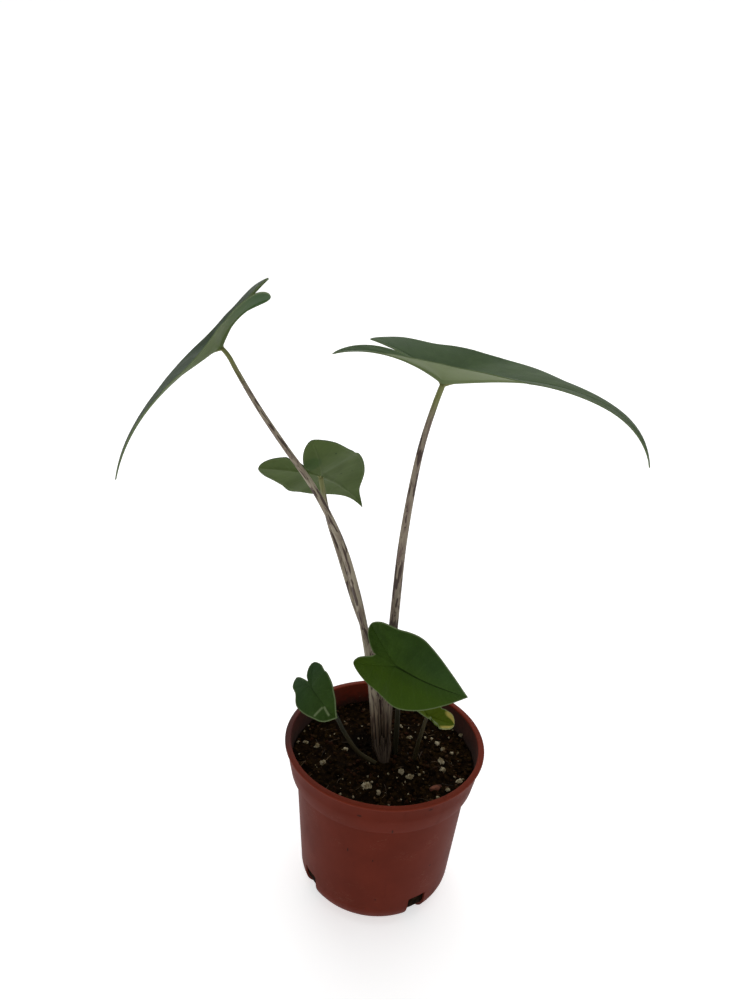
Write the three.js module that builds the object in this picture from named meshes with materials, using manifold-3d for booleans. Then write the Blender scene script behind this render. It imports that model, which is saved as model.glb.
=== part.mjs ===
// Potted zebrina alocasia: six arrow-shaped leaves on striped stalks, potting soil
// with white perlite lumps, and a terracotta-coloured nursery pot.
// Millimetres, +Z up, origin at the middle of the pot's flat underside.
// The camera side of the plant is -Y, and +X is to the right.

import * as THREE from 'three';
import { mergeVertices } from 'three/addons/utils/BufferGeometryUtils.js';
import Module from 'manifold-3d';

const wasm = await Module();
wasm.setup();

// Driving dimensions of the pot
const POT_HEIGHT = 103;
const RIM_RADIUS = 60;
const COLLAR_HEIGHT = 20.7;
const COLLAR_FOOT_RADIUS = 55.6;
const BODY_TOP_RADIUS = 52.2;
const BASE_RADIUS = 46.8;
const CORNER_RADIUS = 15;
const WALL = 1.2;
const FLOOR = 1.6;
const POT_SIDES = 56;
const SLOT_COUNT = 4;
const SLOT_WIDTH = 12;
const SLOT_HEIGHT = 20;
const SLOT_REACH = 24;
const SLOT_FIRST_ANGLE = -56;

// Soil, and the clearance between pieces that touch
const FIT = 0.3;
const SOIL_LEVEL = 89;
const SOIL_MOUND = 2.5;
const SOIL_BUMP = 0.8;
const STEM_DEPTH = 11;
const HOLE_CLEAR = 8;

// Leaves
const BLADE_THICKNESS = 0.8;
const RIB_DEPTH = 1.1;
const RIB_SHARE = 0.12;
const MARGIN_WAVES = 5;

const DEG = Math.PI / 180;

// One entry for each leaf, with angles in degrees.
// at: where the stalk meets the blade. heading, pitch and bank: how the blade lies there.
// length: joint to tip. halfWidth: at the joint. taper: share of halfWidth at 1/4, 1/2 and 3/4
// of the length. droop: slope of the midrib at five even stations. sweep and twist: how far
// the tip turns sideways and rolls. wave: height of the margin's waves.
// left and right, seen along the midrib from the joint: lobe is its length, spread and curl
// its angle from the midrib line and how that grows, slope its fall at the joint and the tip,
// outer and inner its half-widths, fold how far the sheet is lifted at the lobe's tip, the
// joint, the middle and the tip, innerFold the lift of the lobe's inner web, cup the extra
// curl towards the margin, and turn the roll of the lobe.
const LEAVES = {
  leaf_right: {
    at: [13, 5.7, 323.3], heading: -24.7, pitch: 12.1, bank: -10.2, length: 121.4, halfWidth: 37.6,
    taper: [1.1, 0.68, 0.37], lobeTaper: 0.62, sinus: 3.8, droop: [-0.4, 2.3, 15.4, 36, 87.1],
    sweep: -4.6, twist: -3.8, wave: 0.1,
    left: { lobe: 54.6, spread: 19.8, curl: -11.1, slope: [-36.4, -16.5], outer: 22.1, inner: 5.5,
      fold: [10, 26, 7, -9], innerFold: 14, cup: -9, turn: 3.6 },
    right: { lobe: 66.5, spread: 20.1, curl: -30.6, slope: [-39.9, 9.4], outer: 12.8, inner: 5.7,
      fold: [20, 14, 0, 3], innerFold: 9, cup: 1, turn: -30 },
    stalk: [[1.6, 5, 92], [-0.6, 5.1, 141], [-0.8, 5.3, 193], [0.2, 5.4, 236], [4.9, 5.6, 286],
      [10, 5.9, 311]],
    stalkRadius: [2.2, 2.8, 2.7, 2.5, 2.2, 1.8, 1.5],
  },
  leaf_left: {
    at: [-100.6, 3.6, 333.3], heading: 197.5, pitch: -31, bank: 12.1, length: 87.9, halfWidth: 35.7,
    taper: [1.19, 0.68, 0.35], lobeTaper: 0.92, sinus: 1.9, droop: [-0.3, 9.4, 18.8, 32.2, 47.6],
    sweep: 15, twist: 2, wave: 0.1,
    left: { lobe: 36.2, spread: 24, curl: -24.7, slope: [-40.3, 13.7], outer: 25.1, inner: 4.7,
      fold: [-43, -4, -2, 4], innerFold: 26, cup: 8, turn: 54.2 },
    right: { lobe: 42.5, spread: 14.9, curl: -11.6, slope: [-35.7, -10.6], outer: 18.8, inner: 2.9,
      fold: [8, 8, 3, 0], innerFold: 15, cup: 1, turn: -3.3 },
    stalk: [[-4.1, 3.4, 92], [-9.4, 3.5, 134], [-15.7, 3.4, 168], [-23.9, 3.4, 200.6],
      [-34.1, 3.3, 230.1], [-50, 3.3, 259.9], [-67.5, 3.4, 283.9], [-80.6, 3.4, 302.5],
      [-91.8, 3.4, 320.6], [-96.6, 3.5, 328.8]],
    stalkRadius: [2.2, 2.8, 2.4, 2.2, 2, 1.7, 1.45, 1.15],
  },
  leaf_back: {
    at: [-48.9, 26.9, 259.1], heading: 68, pitch: -31, bank: -28.5, length: 66.5, halfWidth: 24.2,
    taper: [0.94, 0.7, 0.24], lobeTaper: 0.58, sinus: 2.5, droop: [0, -5, 6, 7, 42], sweep: -4,
    twist: -1, wave: 0.2,
    left: { lobe: 38.4, spread: 23.7, curl: 31, slope: [-4, -8], outer: 18.2, inner: 12.3,
      fold: [13, 11, 8, 9], innerFold: 12, cup: -24, turn: -8 },
    right: { lobe: 39.6, spread: 23.1, curl: -12, slope: [5, -26], outer: 18.9, inner: 8.3,
      fold: [7, 16, 13, 8], innerFold: -22, cup: 7, turn: -10 },
    stalk: [[-2.6, 9.8, 92], [-7.2, 12.2, 133], [-14.5, 15.2, 161], [-24, 18, 184],
      [-34.5, 21.6, 212], [-42.6, 24.6, 233.5]],
    stalkRadius: [2, 2.3, 2.2, 2.1, 1.9, 1.6, 1.4],
  },
  leaf_front: {
    at: [0.9, -29, 173.8], heading: -31, pitch: -8, bank: 70, length: 42.7, halfWidth: 21.2,
    taper: [0.96, 0.74, 0.4], lobeTaper: 0.62, sinus: 13.7, droop: [0, 1, 16, 26, 28], sweep: 4,
    twist: 1, wave: 0.15,
    left: { lobe: 26.8, spread: 28.4, curl: 4, slope: [4, 3], outer: 16.3, inner: 7.3,
      fold: [18, 5, 7, 10], innerFold: 11, cup: -14, turn: 21 },
    right: { lobe: 28, spread: 26.1, curl: -1, slope: [6, 10], outer: 16.8, inner: 5.3,
      fold: [-6, 9, 9, 7], innerFold: 4, cup: -18, turn: -18 },
    stalk: [[6.8, 1, 92], [6.3, -2.1, 113], [5.6, -7, 134], [6, -14, 158]],
    stalkRadius: [1.5, 1.6, 1.4, 1.2, 1.2],
  },
  leaf_low: {
    at: [-43.3, -32.8, 158.2], heading: -61, pitch: -7, bank: 56.5, length: 26.8, halfWidth: 13.1,
    taper: [0.94, 0.74, 0.51], lobeTaper: 0.61, sinus: 5.5, droop: [0, 5, 1, 2, 13], sweep: 14,
    twist: 2, wave: 0.1,
    left: { lobe: 15, spread: 27.5, curl: 19, slope: [1, 7], outer: 10.1, inner: 3.6,
      fold: [9, 11, 4, 7], innerFold: 9, cup: -16, turn: -5 },
    right: { lobe: 18.3, spread: 21.9, curl: 0, slope: [0, 14], outer: 7.5, inner: 2.2,
      fold: [12, 12, 6, 2], innerFold: 11, cup: -13, turn: 6 },
    stalk: [[-6.3, -9, 92], [-15.3, -12.6, 101], [-24, -20, 120], [-32, -26, 140]],
    stalkRadius: [1.3, 1.3, 1.2, 1.1, 1],
  },
  leaf_small: {
    at: [21.6, -21, 137.3], heading: 115, pitch: 5.4, bank: 2, length: 28, halfWidth: 10.3,
    taper: [1, 0.78, 0.42], lobeTaper: 0.77, sinus: 2.4, droop: [0, 5, 12, 25, 25], sweep: 0,
    twist: 0, wave: 0.1,
    left: { lobe: 7.5, spread: 26, curl: 2, slope: [-26, -32], outer: 6.9, inner: 2.2,
      fold: [20, 25, 12, 8], innerFold: 10, cup: 1, turn: 2 },
    right: { lobe: 16.3, spread: 36.7, curl: 19, slope: [-3, 2], outer: 8.3, inner: 6.5,
      fold: [10, 16, 8, 8], innerFold: 3, cup: 1, turn: 2 },
    stalk: [[18.8, -3.4, 92], [19.5, -8.3, 107], [20.4, -14.5, 121]],
    stalkRadius: [1.2, 1.2, 1.1, 1],
  },
};

// Perlite lumps by place and size, and one chip of bark
const LUMPS = [
  [-9, -30, 5.2], [-36, -12, 3.8], [35, -3, 4.2], [45, -19, 3.6], [36, -10, 3.4], [16, 17, 3],
  [11, -16, 3.6], [15.5, -19, 3.2], [-2, -34, 3.2], [-48, 7, 3], [-41, 3, 3.2], [-23, 1, 2.8],
];
const BARK_CHIP = { x: 31, y: -26, size: 9, squash: [1, 0.5, 0.35] };

const COLOURS = {
  pot: 0x6b3022, soil: 0x1f1712, perlite: 0xbdb6a6, bark: 0x5a3524, blade: 0x3f5638,
  stalk: 0x8c8070,
};

const group = new THREE.Group();

function addPiece(name, geometry, colour, roughness) {
  const material = new THREE.MeshStandardMaterial({ color: colour, roughness, metalness: 0 });
  const mesh = new THREE.Mesh(geometry, material);
  mesh.name = name;
  group.add(mesh);
}

function seededRandom(seed) {
  let state = seed;
  return () => {
    state = (state * 16807) % 2147483647;
    return state / 2147483647;
  };
}

// Booleans work on closed meshes that hold positions alone
function toSolid(geometry) {
  const bare = geometry.clone();
  bare.deleteAttribute('normal');
  bare.deleteAttribute('uv');
  const merged = mergeVertices(bare, 1e-5);
  return new wasm.Manifold(new wasm.Mesh({
    numProp: 3,
    vertProperties: new Float32Array(merged.attributes.position.array),
    triVerts: new Uint32Array(merged.index.array),
  }));
}

function toGeometry(solid) {
  const mesh = solid.getMesh();
  const geometry = new THREE.BufferGeometry();
  geometry.setAttribute('position', new THREE.BufferAttribute(mesh.vertProperties, 3));
  geometry.setIndex(new THREE.BufferAttribute(mesh.triVerts, 1));
  return geometry;
}

function closedMesh(points, triangles) {
  const geometry = new THREE.BufferGeometry();
  geometry.setAttribute('position', new THREE.Float32BufferAttribute(points.flat(), 3));
  geometry.setIndex(triangles.flat());
  return geometry;
}

// A profile of [radius, height] turned about +Z
function turned(profile) {
  const points = profile.map(([r, z]) => new THREE.Vector2(r, z));
  return new THREE.LatheGeometry(points, POT_SIDES).rotateX(Math.PI / 2);
}

// Heights and radii of the collar, which bends a little, and of the lip
const COLLAR_FOOT = POT_HEIGHT - COLLAR_HEIGHT;
const COLLAR_STEP_RISE = 1;
const COLLAR_BEND = POT_HEIGHT - 11.6;
const COLLAR_BEND_RADIUS = 57.3;
const COLLAR_TOP_RADIUS = 57.5;
const LIP_FOOT = POT_HEIGHT - 2.5;
const LIP_THICKNESS = 1.5;
const LIP_EDGE = 0.5;

function cornerArc(radius, bottom, steps) {
  const middle = BASE_RADIUS - CORNER_RADIUS;
  const arc = [];
  for (let i = 0; i <= steps; i += 1) {
    const angle = (i / steps) * 90 * DEG;
    arc.push([middle + radius * Math.sin(angle), bottom + radius * (1 - Math.cos(angle))]);
  }
  return arc;
}

// Inner face of the wall from the floor's middle up to the lip, moved in by a clearance
function innerWall(clearance) {
  const inset = WALL + clearance;
  return [
    ...cornerArc(CORNER_RADIUS - inset, FLOOR + clearance, 4),
    [BODY_TOP_RADIUS - inset, COLLAR_FOOT - COLLAR_STEP_RISE + inset],
    [COLLAR_FOOT_RADIUS - inset, COLLAR_FOOT + inset],
    [COLLAR_BEND_RADIUS - inset, COLLAR_BEND],
    [COLLAR_TOP_RADIUS - inset, LIP_FOOT],
  ];
}

function makePot() {
  const outside = [
    [0, 0],
    ...cornerArc(CORNER_RADIUS, 0, 6),
    [BODY_TOP_RADIUS, COLLAR_FOOT - COLLAR_STEP_RISE],
    [COLLAR_FOOT_RADIUS, COLLAR_FOOT],
    [COLLAR_BEND_RADIUS, COLLAR_BEND],
    [COLLAR_TOP_RADIUS, LIP_FOOT],
    [RIM_RADIUS, POT_HEIGHT - LIP_THICKNESS],
    [RIM_RADIUS, POT_HEIGHT - LIP_EDGE],
    [RIM_RADIUS - LIP_EDGE, POT_HEIGHT],
  ];
  const lipInside = COLLAR_TOP_RADIUS - WALL;
  const inside = [
    [lipInside + LIP_EDGE, POT_HEIGHT],
    [lipInside, POT_HEIGHT - LIP_EDGE],
    ...innerWall(0).reverse(),
    [0, FLOOR],
  ];
  let pot = toSolid(turned([...outside, ...inside]));
  for (let i = 0; i < SLOT_COUNT; i += 1) {
    const angle = (SLOT_FIRST_ANGLE + (i * 360) / SLOT_COUNT) * DEG;
    const slot = new THREE.BoxGeometry(SLOT_REACH, SLOT_WIDTH, SLOT_HEIGHT + 1);
    slot.translate(BASE_RADIUS, 0, (SLOT_HEIGHT - 1) / 2);
    slot.rotateZ(angle);
    pot = pot.subtract(toSolid(slot));
  }
  return toGeometry(pot);
}

// A rounded lump: a ball pushed in and out by a few seeded waves
function lump(size, seed, squash) {
  const random = seededRandom(seed);
  const phase = [random(), random(), random()].map((share) => share * 2 * Math.PI);
  const ball = new THREE.IcosahedronGeometry(size / 2, 1);
  const position = ball.attributes.position;
  const point = new THREE.Vector3();
  for (let i = 0; i < position.count; i += 1) {
    point.fromBufferAttribute(position, i);
    const way = point.clone().normalize();
    const swell = 1 + 0.16 * Math.sin(3.1 * way.x + phase[0]) * Math.cos(2.7 * way.y + phase[1])
      + 0.1 * Math.sin(4.3 * way.z + phase[2]);
    point.multiplyScalar(swell);
    position.setXYZ(i, point.x * squash[0], point.y * squash[1], point.z * squash[2]);
  }
  return ball;
}

function soilHeight(x, y) {
  const r = Math.hypot(x, y) / COLLAR_FOOT_RADIUS;
  const bumps = Math.sin(0.31 * x + 0.9) * Math.cos(0.27 * y - 0.4)
    + 0.6 * Math.sin(0.53 * x - 0.38 * y + 2) + 0.4 * Math.cos(0.71 * y + 0.45 * x);
  return SOIL_LEVEL + SOIL_MOUND * Math.max(0, 1 - r * r) + SOIL_BUMP * bumps * 0.5;
}

// rise: how far a lump's middle lies above the soil, as a share of its size
const LUMP_SQUASH = [1.15, 0.9, 0.8];
const LUMP_TURN = 75 * DEG;
const LUMP_RISE = 0.12;
const CHIP_TURN = 25 * DEG;
const CHIP_RISE = 0.4;
const lumpPieces = LUMPS.map(([x, y, size], i) => {
  const geometry = lump(size, 11 + 7 * i, LUMP_SQUASH).rotateZ(i * LUMP_TURN);
  const name = `perlite_${String(i + 1).padStart(2, '0')}`;
  return { name, geometry, x, y, rise: size * LUMP_RISE, colour: COLOURS.perlite };
});
const chip = lump(BARK_CHIP.size, 5, BARK_CHIP.squash).rotateZ(CHIP_TURN);
lumpPieces.push({
  name: 'bark_chip', geometry: chip, x: BARK_CHIP.x, y: BARK_CHIP.y, rise: CHIP_RISE,
  colour: COLOURS.bark,
});

function placeOnSoil(geometry, x, y, rise) {
  return geometry.clone().translate(x, y, soilHeight(x, y) + rise);
}

// The same shape grown on every side by a little over the clearance, for the dimple it sits in
function grown(geometry) {
  geometry.computeBoundingBox();
  const size = geometry.boundingBox.getSize(new THREE.Vector3());
  const swell = (length) => 1 + (2.2 * FIT) / length;
  return geometry.clone().scale(swell(size.x), swell(size.y), swell(size.z));
}

// Where a stalk leaves the soil, and its straight way out of it
function stalkFoot(leaf) {
  const foot = new THREE.Vector3(...leaf.stalk[0]);
  const way = new THREE.Vector3(...leaf.stalk[1]).sub(foot).normalize();
  return { foot, way };
}

function makeSoil() {
  const wall = innerWall(FIT);
  const rings = 8;
  const points = [[0, 0, FLOOR + FIT]];
  const triangles = [];
  const ring = (radius, height) => {
    for (let k = 0; k < POT_SIDES; k += 1) {
      const angle = (k / POT_SIDES) * 2 * Math.PI;
      const x = radius * Math.sin(angle);
      const y = -radius * Math.cos(angle);
      points.push([x, y, height === undefined ? soilHeight(x, y) : height]);
    }
  };
  const sides = wall.filter((step) => step[1] < SOIL_LEVEL);
  sides.forEach(([radius, height]) => ring(radius, height));
  const [shoulder, shoulderHeight] = sides[sides.length - 1];
  const slope = (COLLAR_BEND_RADIUS - WALL - FIT - shoulder) / (COLLAR_BEND - shoulderHeight);
  const edge = shoulder + slope * (SOIL_LEVEL - SOIL_BUMP - shoulderHeight);
  for (let i = rings; i > 0; i -= 1) ring((edge * i) / rings);
  points.push([0, 0, soilHeight(0, 0)]);
  const count = sides.length + rings;
  const at = (row, k) => 1 + row * POT_SIDES + (k % POT_SIDES);
  for (let k = 0; k < POT_SIDES; k += 1) {
    triangles.push([0, at(0, k + 1), at(0, k)]);
    triangles.push([points.length - 1, at(count - 1, k), at(count - 1, k + 1)]);
    for (let row = 0; row < count - 1; row += 1) {
      triangles.push([at(row, k), at(row, k + 1), at(row + 1, k + 1)]);
      triangles.push([at(row, k), at(row + 1, k + 1), at(row + 1, k)]);
    }
  }
  let soil = toSolid(closedMesh(points, triangles));
  for (const leaf of Object.values(LEAVES)) {
    const radius = leaf.stalkRadius[0] + 2 * FIT;
    const height = STEM_DEPTH + FIT + HOLE_CLEAR;
    const hole = new THREE.CylinderGeometry(radius, radius, height, 24);
    hole.translate(0, height / 2 - STEM_DEPTH - FIT, 0);
    const { foot, way } = stalkFoot(leaf);
    const lean = new THREE.Quaternion().setFromUnitVectors(new THREE.Vector3(0, 1, 0), way);
    hole.applyQuaternion(lean).translate(...foot.toArray());
    soil = soil.subtract(toSolid(hole));
  }
  for (const { geometry, x, y, rise } of lumpPieces) {
    soil = soil.subtract(toSolid(placeOnSoil(grown(geometry), x, y, rise)));
  }
  return toGeometry(soil);
}

// A curve through values at even stations, read at t from 0 to 1
function throughStations(values, t) {
  const last = values.length - 1;
  const place = Math.min(Math.max(t, 0), 1) * last;
  const i = Math.min(Math.floor(place), last - 1);
  const f = place - i;
  const b = values[i];
  const c = values[i + 1];
  const a = i > 0 ? values[i - 1] : 2 * b - c;
  const d = i < last - 1 ? values[i + 2] : 2 * c - b;
  return 0.5 * (2 * b + (c - a) * f + (2 * a - 5 * b + 4 * c - d) * f * f
    + (3 * b - a - 3 * c + d) * f * f * f);
}

// Ribs are walked in small steps, and a lobe's a little past its tip. The midrib's middle fold
// stands at FOLD_MIDDLE of its length. Around the joint the blade passes from the midrib's
// bending to the lobe's between FAN_START and FAN_END, less the lobe's spread, in degrees.
const mix = (a, b, t) => a + (b - a) * Math.min(Math.max(t, 0), 1);
const SPINE_STEPS = 48;
const LOBE_REACH = 1.15;
const FOLD_MIDDLE = 0.45;
const FAN_START = 45;
const FAN_END = 135;

// Each spine is a list of { at, along, across, up } frames at even steps
function walk(count, stepLength, frameAt) {
  const frames = [];
  const at = new THREE.Vector3();
  for (let i = 0; i <= count; i += 1) {
    const frame = frameAt(i / count);
    if (i > 0) {
      at.addScaledVector(frame.along, stepLength / 2);
      at.addScaledVector(frames[i - 1].along, stepLength / 2);
    }
    frames.push({ ...frame, at: at.clone() });
  }
  return frames;
}

function rolled(across, up, angle) {
  const a = across.clone().multiplyScalar(Math.cos(angle)).addScaledVector(up, Math.sin(angle));
  const u = up.clone().multiplyScalar(Math.cos(angle)).addScaledVector(across, -Math.sin(angle));
  return { across: a, up: u };
}

function midrib(leaf) {
  return walk(SPINE_STEPS, leaf.length / SPINE_STEPS, (t) => {
    const fall = throughStations(leaf.droop, t) * DEG;
    const turn = leaf.sweep * DEG * t ** 1.5;
    const along = new THREE.Vector3(Math.cos(fall) * Math.cos(turn),
      Math.cos(fall) * Math.sin(turn), -Math.sin(fall));
    const across = new THREE.Vector3(-Math.sin(turn), Math.cos(turn), 0);
    const up = along.clone().cross(across);
    return { along, ...rolled(across, up, leaf.twist * DEG * t) };
  });
}

function lobeRib(side, sign) {
  const step = (side.lobe * LOBE_REACH) / SPINE_STEPS;
  return walk(SPINE_STEPS, step, (share) => {
    const t = share * LOBE_REACH;
    const fall = (side.slope[0] + (side.slope[1] - side.slope[0]) * t) * DEG;
    const spread = (side.spread + side.curl * t) * DEG;
    const along = new THREE.Vector3(-Math.cos(fall) * Math.cos(spread),
      sign * Math.cos(fall) * Math.sin(spread), -Math.sin(fall));
    const across = new THREE.Vector3(Math.sin(spread), sign * Math.cos(spread), 0);
    const up = along.clone().cross(across).multiplyScalar(-sign);
    return { along, ...rolled(across, up, side.turn * DEG * t) };
  });
}

function frameOn(spine, share) {
  const place = Math.min(Math.max(share, 0), 1) * SPINE_STEPS;
  const i = Math.min(Math.floor(place), SPINE_STEPS - 1);
  const f = place - i;
  const frame = {};
  for (const key of ['at', 'along', 'across', 'up']) {
    frame[key] = spine[i][key].clone().lerp(spine[i + 1][key], f);
  }
  return frame;
}

// How far a sheet that leaves its rib at an angle, and keeps curling, reaches out and up
function curlOut(angle, distance, cup) {
  const weights = [7, 32, 12, 32, 7];
  let out = 0;
  let up = 0;
  weights.forEach((weight, i) => {
    const here = angle + (cup * i) / 4;
    out += (weight / 90) * Math.cos(here) * distance;
    up += (weight / 90) * Math.sin(here) * distance;
  });
  return [out, up];
}

// A point of the flat blade, u along the midrib and v to the side, bent into its place
function bend(leaf, spines, side, sign, u, v) {
  const cup = (side.cup * DEG) / leaf.halfWidth;
  const spread = side.spread * DEG;
  const along = -u * Math.cos(spread) + v * Math.sin(spread);
  const off = u * Math.sin(spread) + v * Math.cos(spread);

  const t = Math.min(Math.max(u / leaf.length, 0), 1);
  const main = frameOn(spines.midrib, t);
  const mainFold = t < FOLD_MIDDLE ? mix(side.fold[1], side.fold[2], t / FOLD_MIDDLE)
    : mix(side.fold[2], side.fold[3], (t - FOLD_MIDDLE) / (1 - FOLD_MIDDLE));
  const [mainOut, mainUp] = curlOut(mainFold * DEG, v, cup * v);
  const onMain = main.at.clone().addScaledVector(spines.midrib[0].along, Math.min(u, 0))
    .addScaledVector(main.across, sign * mainOut).addScaledVector(main.up, mainUp);

  const rib = sign > 0 ? spines.left : spines.right;
  const s = Math.min(Math.max(along / side.lobe, 0), LOBE_REACH);
  const lobe = frameOn(rib, s / LOBE_REACH);
  const lobeFold = off < 0 ? side.innerFold : mix(side.fold[1], side.fold[0], s);
  const reach = Math.abs(off);
  const [lobeOut, lobeUp] = curlOut(lobeFold * DEG, reach, cup * reach);
  const onLobe = lobe.at.clone().addScaledVector(rib[0].along, Math.min(along, 0))
    .addScaledVector(lobe.across, off < 0 ? -lobeOut : lobeOut).addScaledVector(lobe.up, lobeUp);

  const turn = (Math.atan2(v, u) / DEG - FAN_START) / (FAN_END - side.spread - FAN_START);
  const share = Math.min(Math.max(turn, 0), 1);
  const inLobe = off < 0 && u < 0 ? 1 : share * share * (3 - 2 * share);
  return onMain.lerp(onLobe, inLobe);
}

// Flat outline of one half: margin from the tip to the lobe's tip, then back to the notch
// between the lobes. The fixed shares say where along the ribs each width is measured.
function halfOutline(leaf, side) {
  const { length, halfWidth, taper, lobeTaper, sinus } = leaf;
  const spread = side.spread * DEG;
  const onLobe = (share, off) => new THREE.Vector3(
    -Math.cos(spread) * side.lobe * share + Math.sin(spread) * off,
    Math.sin(spread) * side.lobe * share + Math.cos(spread) * off, 0);
  const outer = [
    new THREE.Vector3(length, 0, 0),
    new THREE.Vector3(0.75 * length, taper[2] * halfWidth, 0),
    new THREE.Vector3(0.5 * length, taper[1] * halfWidth, 0),
    new THREE.Vector3(0.25 * length, taper[0] * halfWidth, 0),
    new THREE.Vector3(0, halfWidth, 0),
    onLobe(0.5, side.outer),
    onLobe(0.86, side.outer * lobeTaper),
    onLobe(1, 0),
  ];
  const inner = [
    onLobe(0.86, -side.inner * 0.7),
    onLobe(0.5, -side.inner),
    new THREE.Vector3(-sinus, 0, 0),
  ];
  return new THREE.CatmullRomCurve3([...outer, ...inner], false, 'centripetal');
}

// Spans of the outline on each shore, and the rib station facing each of its points
const OUTER_SPANS = 7;
const INNER_SPANS = 3;
const RIB_FEET = [1, 0.7, 0.45, 0.2, 0, -0.42, -0.8, -1];

// Foot of a cross line on the ribs, m from 0 at the tip through 4 at the joint to 7
function ribFoot(leaf, side, m) {
  const i = Math.min(Math.floor(m), OUTER_SPANS - 1);
  const share = RIB_FEET[i] + (RIB_FEET[i + 1] - RIB_FEET[i]) * (m - i);
  if (share >= 0) return new THREE.Vector3(share * leaf.length, 0, 0);
  const spread = side.spread * DEG;
  return new THREE.Vector3(Math.cos(spread) * side.lobe * share,
    -Math.sin(spread) * side.lobe * share, 0);
}

// Middle sheet of a blade, as points, triangles and the rib's depth below each point
function bladeSheet(leaf, rowsPerSpan, outerColumns, innerColumns) {
  const spines = {
    midrib: midrib(leaf), left: lobeRib(leaf.left, 1), right: lobeRib(leaf.right, -1),
  };
  const points = [];
  const ribs = [];
  const triangles = [];
  const known = new Map();

  function vertex(side, sign, flat, b, m) {
    const v = Math.max(flat.y, 0);
    const key = `${v < 1e-6 ? 0 : sign}:${flat.x.toFixed(4)}:${v.toFixed(4)}`;
    if (known.has(key)) return known.get(key);
    const here = bend(leaf, spines, side, sign, flat.x, v);
    if (v < 1e-6) {
      const other = sign > 0 ? leaf.right : leaf.left;
      here.lerp(bend(leaf, spines, other, -sign, flat.x, v), 0.5);
    }
    const ripple = Math.sin((m / OUTER_SPANS) * MARGIN_WAVES * 2 * Math.PI + sign);
    const fade = Math.sin((Math.min(m, OUTER_SPANS) / OUTER_SPANS) * Math.PI);
    here.z += leaf.wave * b * b * ripple * fade;
    points.push(here);
    const taper = Math.min(1, Math.max(0, 1 - flat.x / leaf.length));
    ribs.push(RIB_DEPTH * Math.max(0, 1 - b / RIB_SHARE) * Math.sqrt(taper));
    known.set(key, points.length - 1);
    return points.length - 1;
  }

  function patch(sign, side, rows, columns) {
    const grid = rows.map(({ foot, edge, m, shore }) => columns.map((b) => {
      const flat = foot.clone().lerp(edge, b);
      return vertex(side, sign, flat, shore ? b : 0.5 * b, m);
    }));
    for (let i = 0; i < grid.length - 1; i += 1) {
      for (let j = 0; j < columns.length - 1; j += 1) {
        const [a, b, c, d] = [grid[i][j], grid[i][j + 1], grid[i + 1][j + 1], grid[i + 1][j]];
        for (const face of [[a, b, c], [a, c, d]]) {
          if (new Set(face).size < 3) continue;
          triangles.push(face);
        }
      }
    }
  }

  for (const [side, sign] of [[leaf.left, 1], [leaf.right, -1]]) {
    const outline = halfOutline(leaf, side);
    const spans = OUTER_SPANS + INNER_SPANS;
    const outerRows = [];
    for (let i = 0; i <= OUTER_SPANS * rowsPerSpan; i += 1) {
      const m = i / rowsPerSpan;
      const edge = outline.getPoint(m / spans);
      outerRows.push({ foot: ribFoot(leaf, side, m), edge, m, shore: true });
    }
    const innerRows = [];
    for (let i = 0; i <= INNER_SPANS * rowsPerSpan; i += 1) {
      const m = OUTER_SPANS - i / rowsPerSpan;
      const edge = outline.getPoint((OUTER_SPANS + i / rowsPerSpan) / spans);
      innerRows.push({ foot: ribFoot(leaf, side, m), edge, m, shore: false });
    }
    const first = triangles.length;
    patch(sign, side, outerRows, outerColumns);
    patch(sign, side, innerRows, innerColumns);
    // The upper face looks along +up, so each half turns its triangles its own way
    for (let i = first; i < triangles.length; i += 1) {
      if (sign < 0) triangles[i].reverse();
    }
  }
  return { points, ribs, triangles };
}

// The way a leaf lies: along its midrib, across to the left, and up out of its upper face
function pose(leaf) {
  const heading = leaf.heading * DEG;
  const pitch = leaf.pitch * DEG;
  const along = new THREE.Vector3(Math.cos(heading) * Math.cos(pitch),
    Math.sin(heading) * Math.cos(pitch), Math.sin(pitch));
  const level = new THREE.Vector3(-Math.sin(heading), Math.cos(heading), 0);
  const { across, up } = rolled(level, along.clone().cross(level), leaf.bank * DEG);
  return new THREE.Matrix4().makeBasis(along, across, up).setPosition(...leaf.at);
}

// Both faces of the blade carry the same triangles, and a wall joins them at the margin
function makeBlade(leaf, rowsPerSpan, outerColumns, innerColumns) {
  const { points, ribs, triangles } = bladeSheet(leaf, rowsPerSpan, outerColumns, innerColumns);
  const sheet = closedMesh(points.map((p) => p.toArray()), triangles);
  sheet.computeVertexNormals();
  const normal = new THREE.Vector3();
  const upper = [];
  const lower = [];
  points.forEach((point, i) => {
    normal.fromBufferAttribute(sheet.attributes.normal, i);
    upper.push(point.clone().addScaledVector(normal, BLADE_THICKNESS / 2).toArray());
    lower.push(point.clone().addScaledVector(normal, -BLADE_THICKNESS / 2 - ribs[i]).toArray());
  });
  const count = points.length;
  const faces = [];
  const edges = new Map();
  for (const [a, b, c] of triangles) {
    faces.push([a, b, c], [a + count, c + count, b + count]);
    for (const [from, to] of [[a, b], [b, c], [c, a]]) {
      if (!edges.delete(`${to}:${from}`)) edges.set(`${from}:${to}`, [from, to]);
    }
  }
  for (const [from, to] of edges.values()) {
    faces.push([to, from, from + count], [to, from + count, to + count]);
  }
  return closedMesh([...upper, ...lower], faces).applyMatrix4(pose(leaf));
}

// A tapered round stalk along a curve, from inside the soil to under the blade's joint
const STALK_SIDES = 8;
const STALK_STEP = 8;
const STALK_ARRIVAL = 4;
const JOINT_CLEARANCE = BLADE_THICKNESS / 2 + RIB_DEPTH + FIT;

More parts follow.
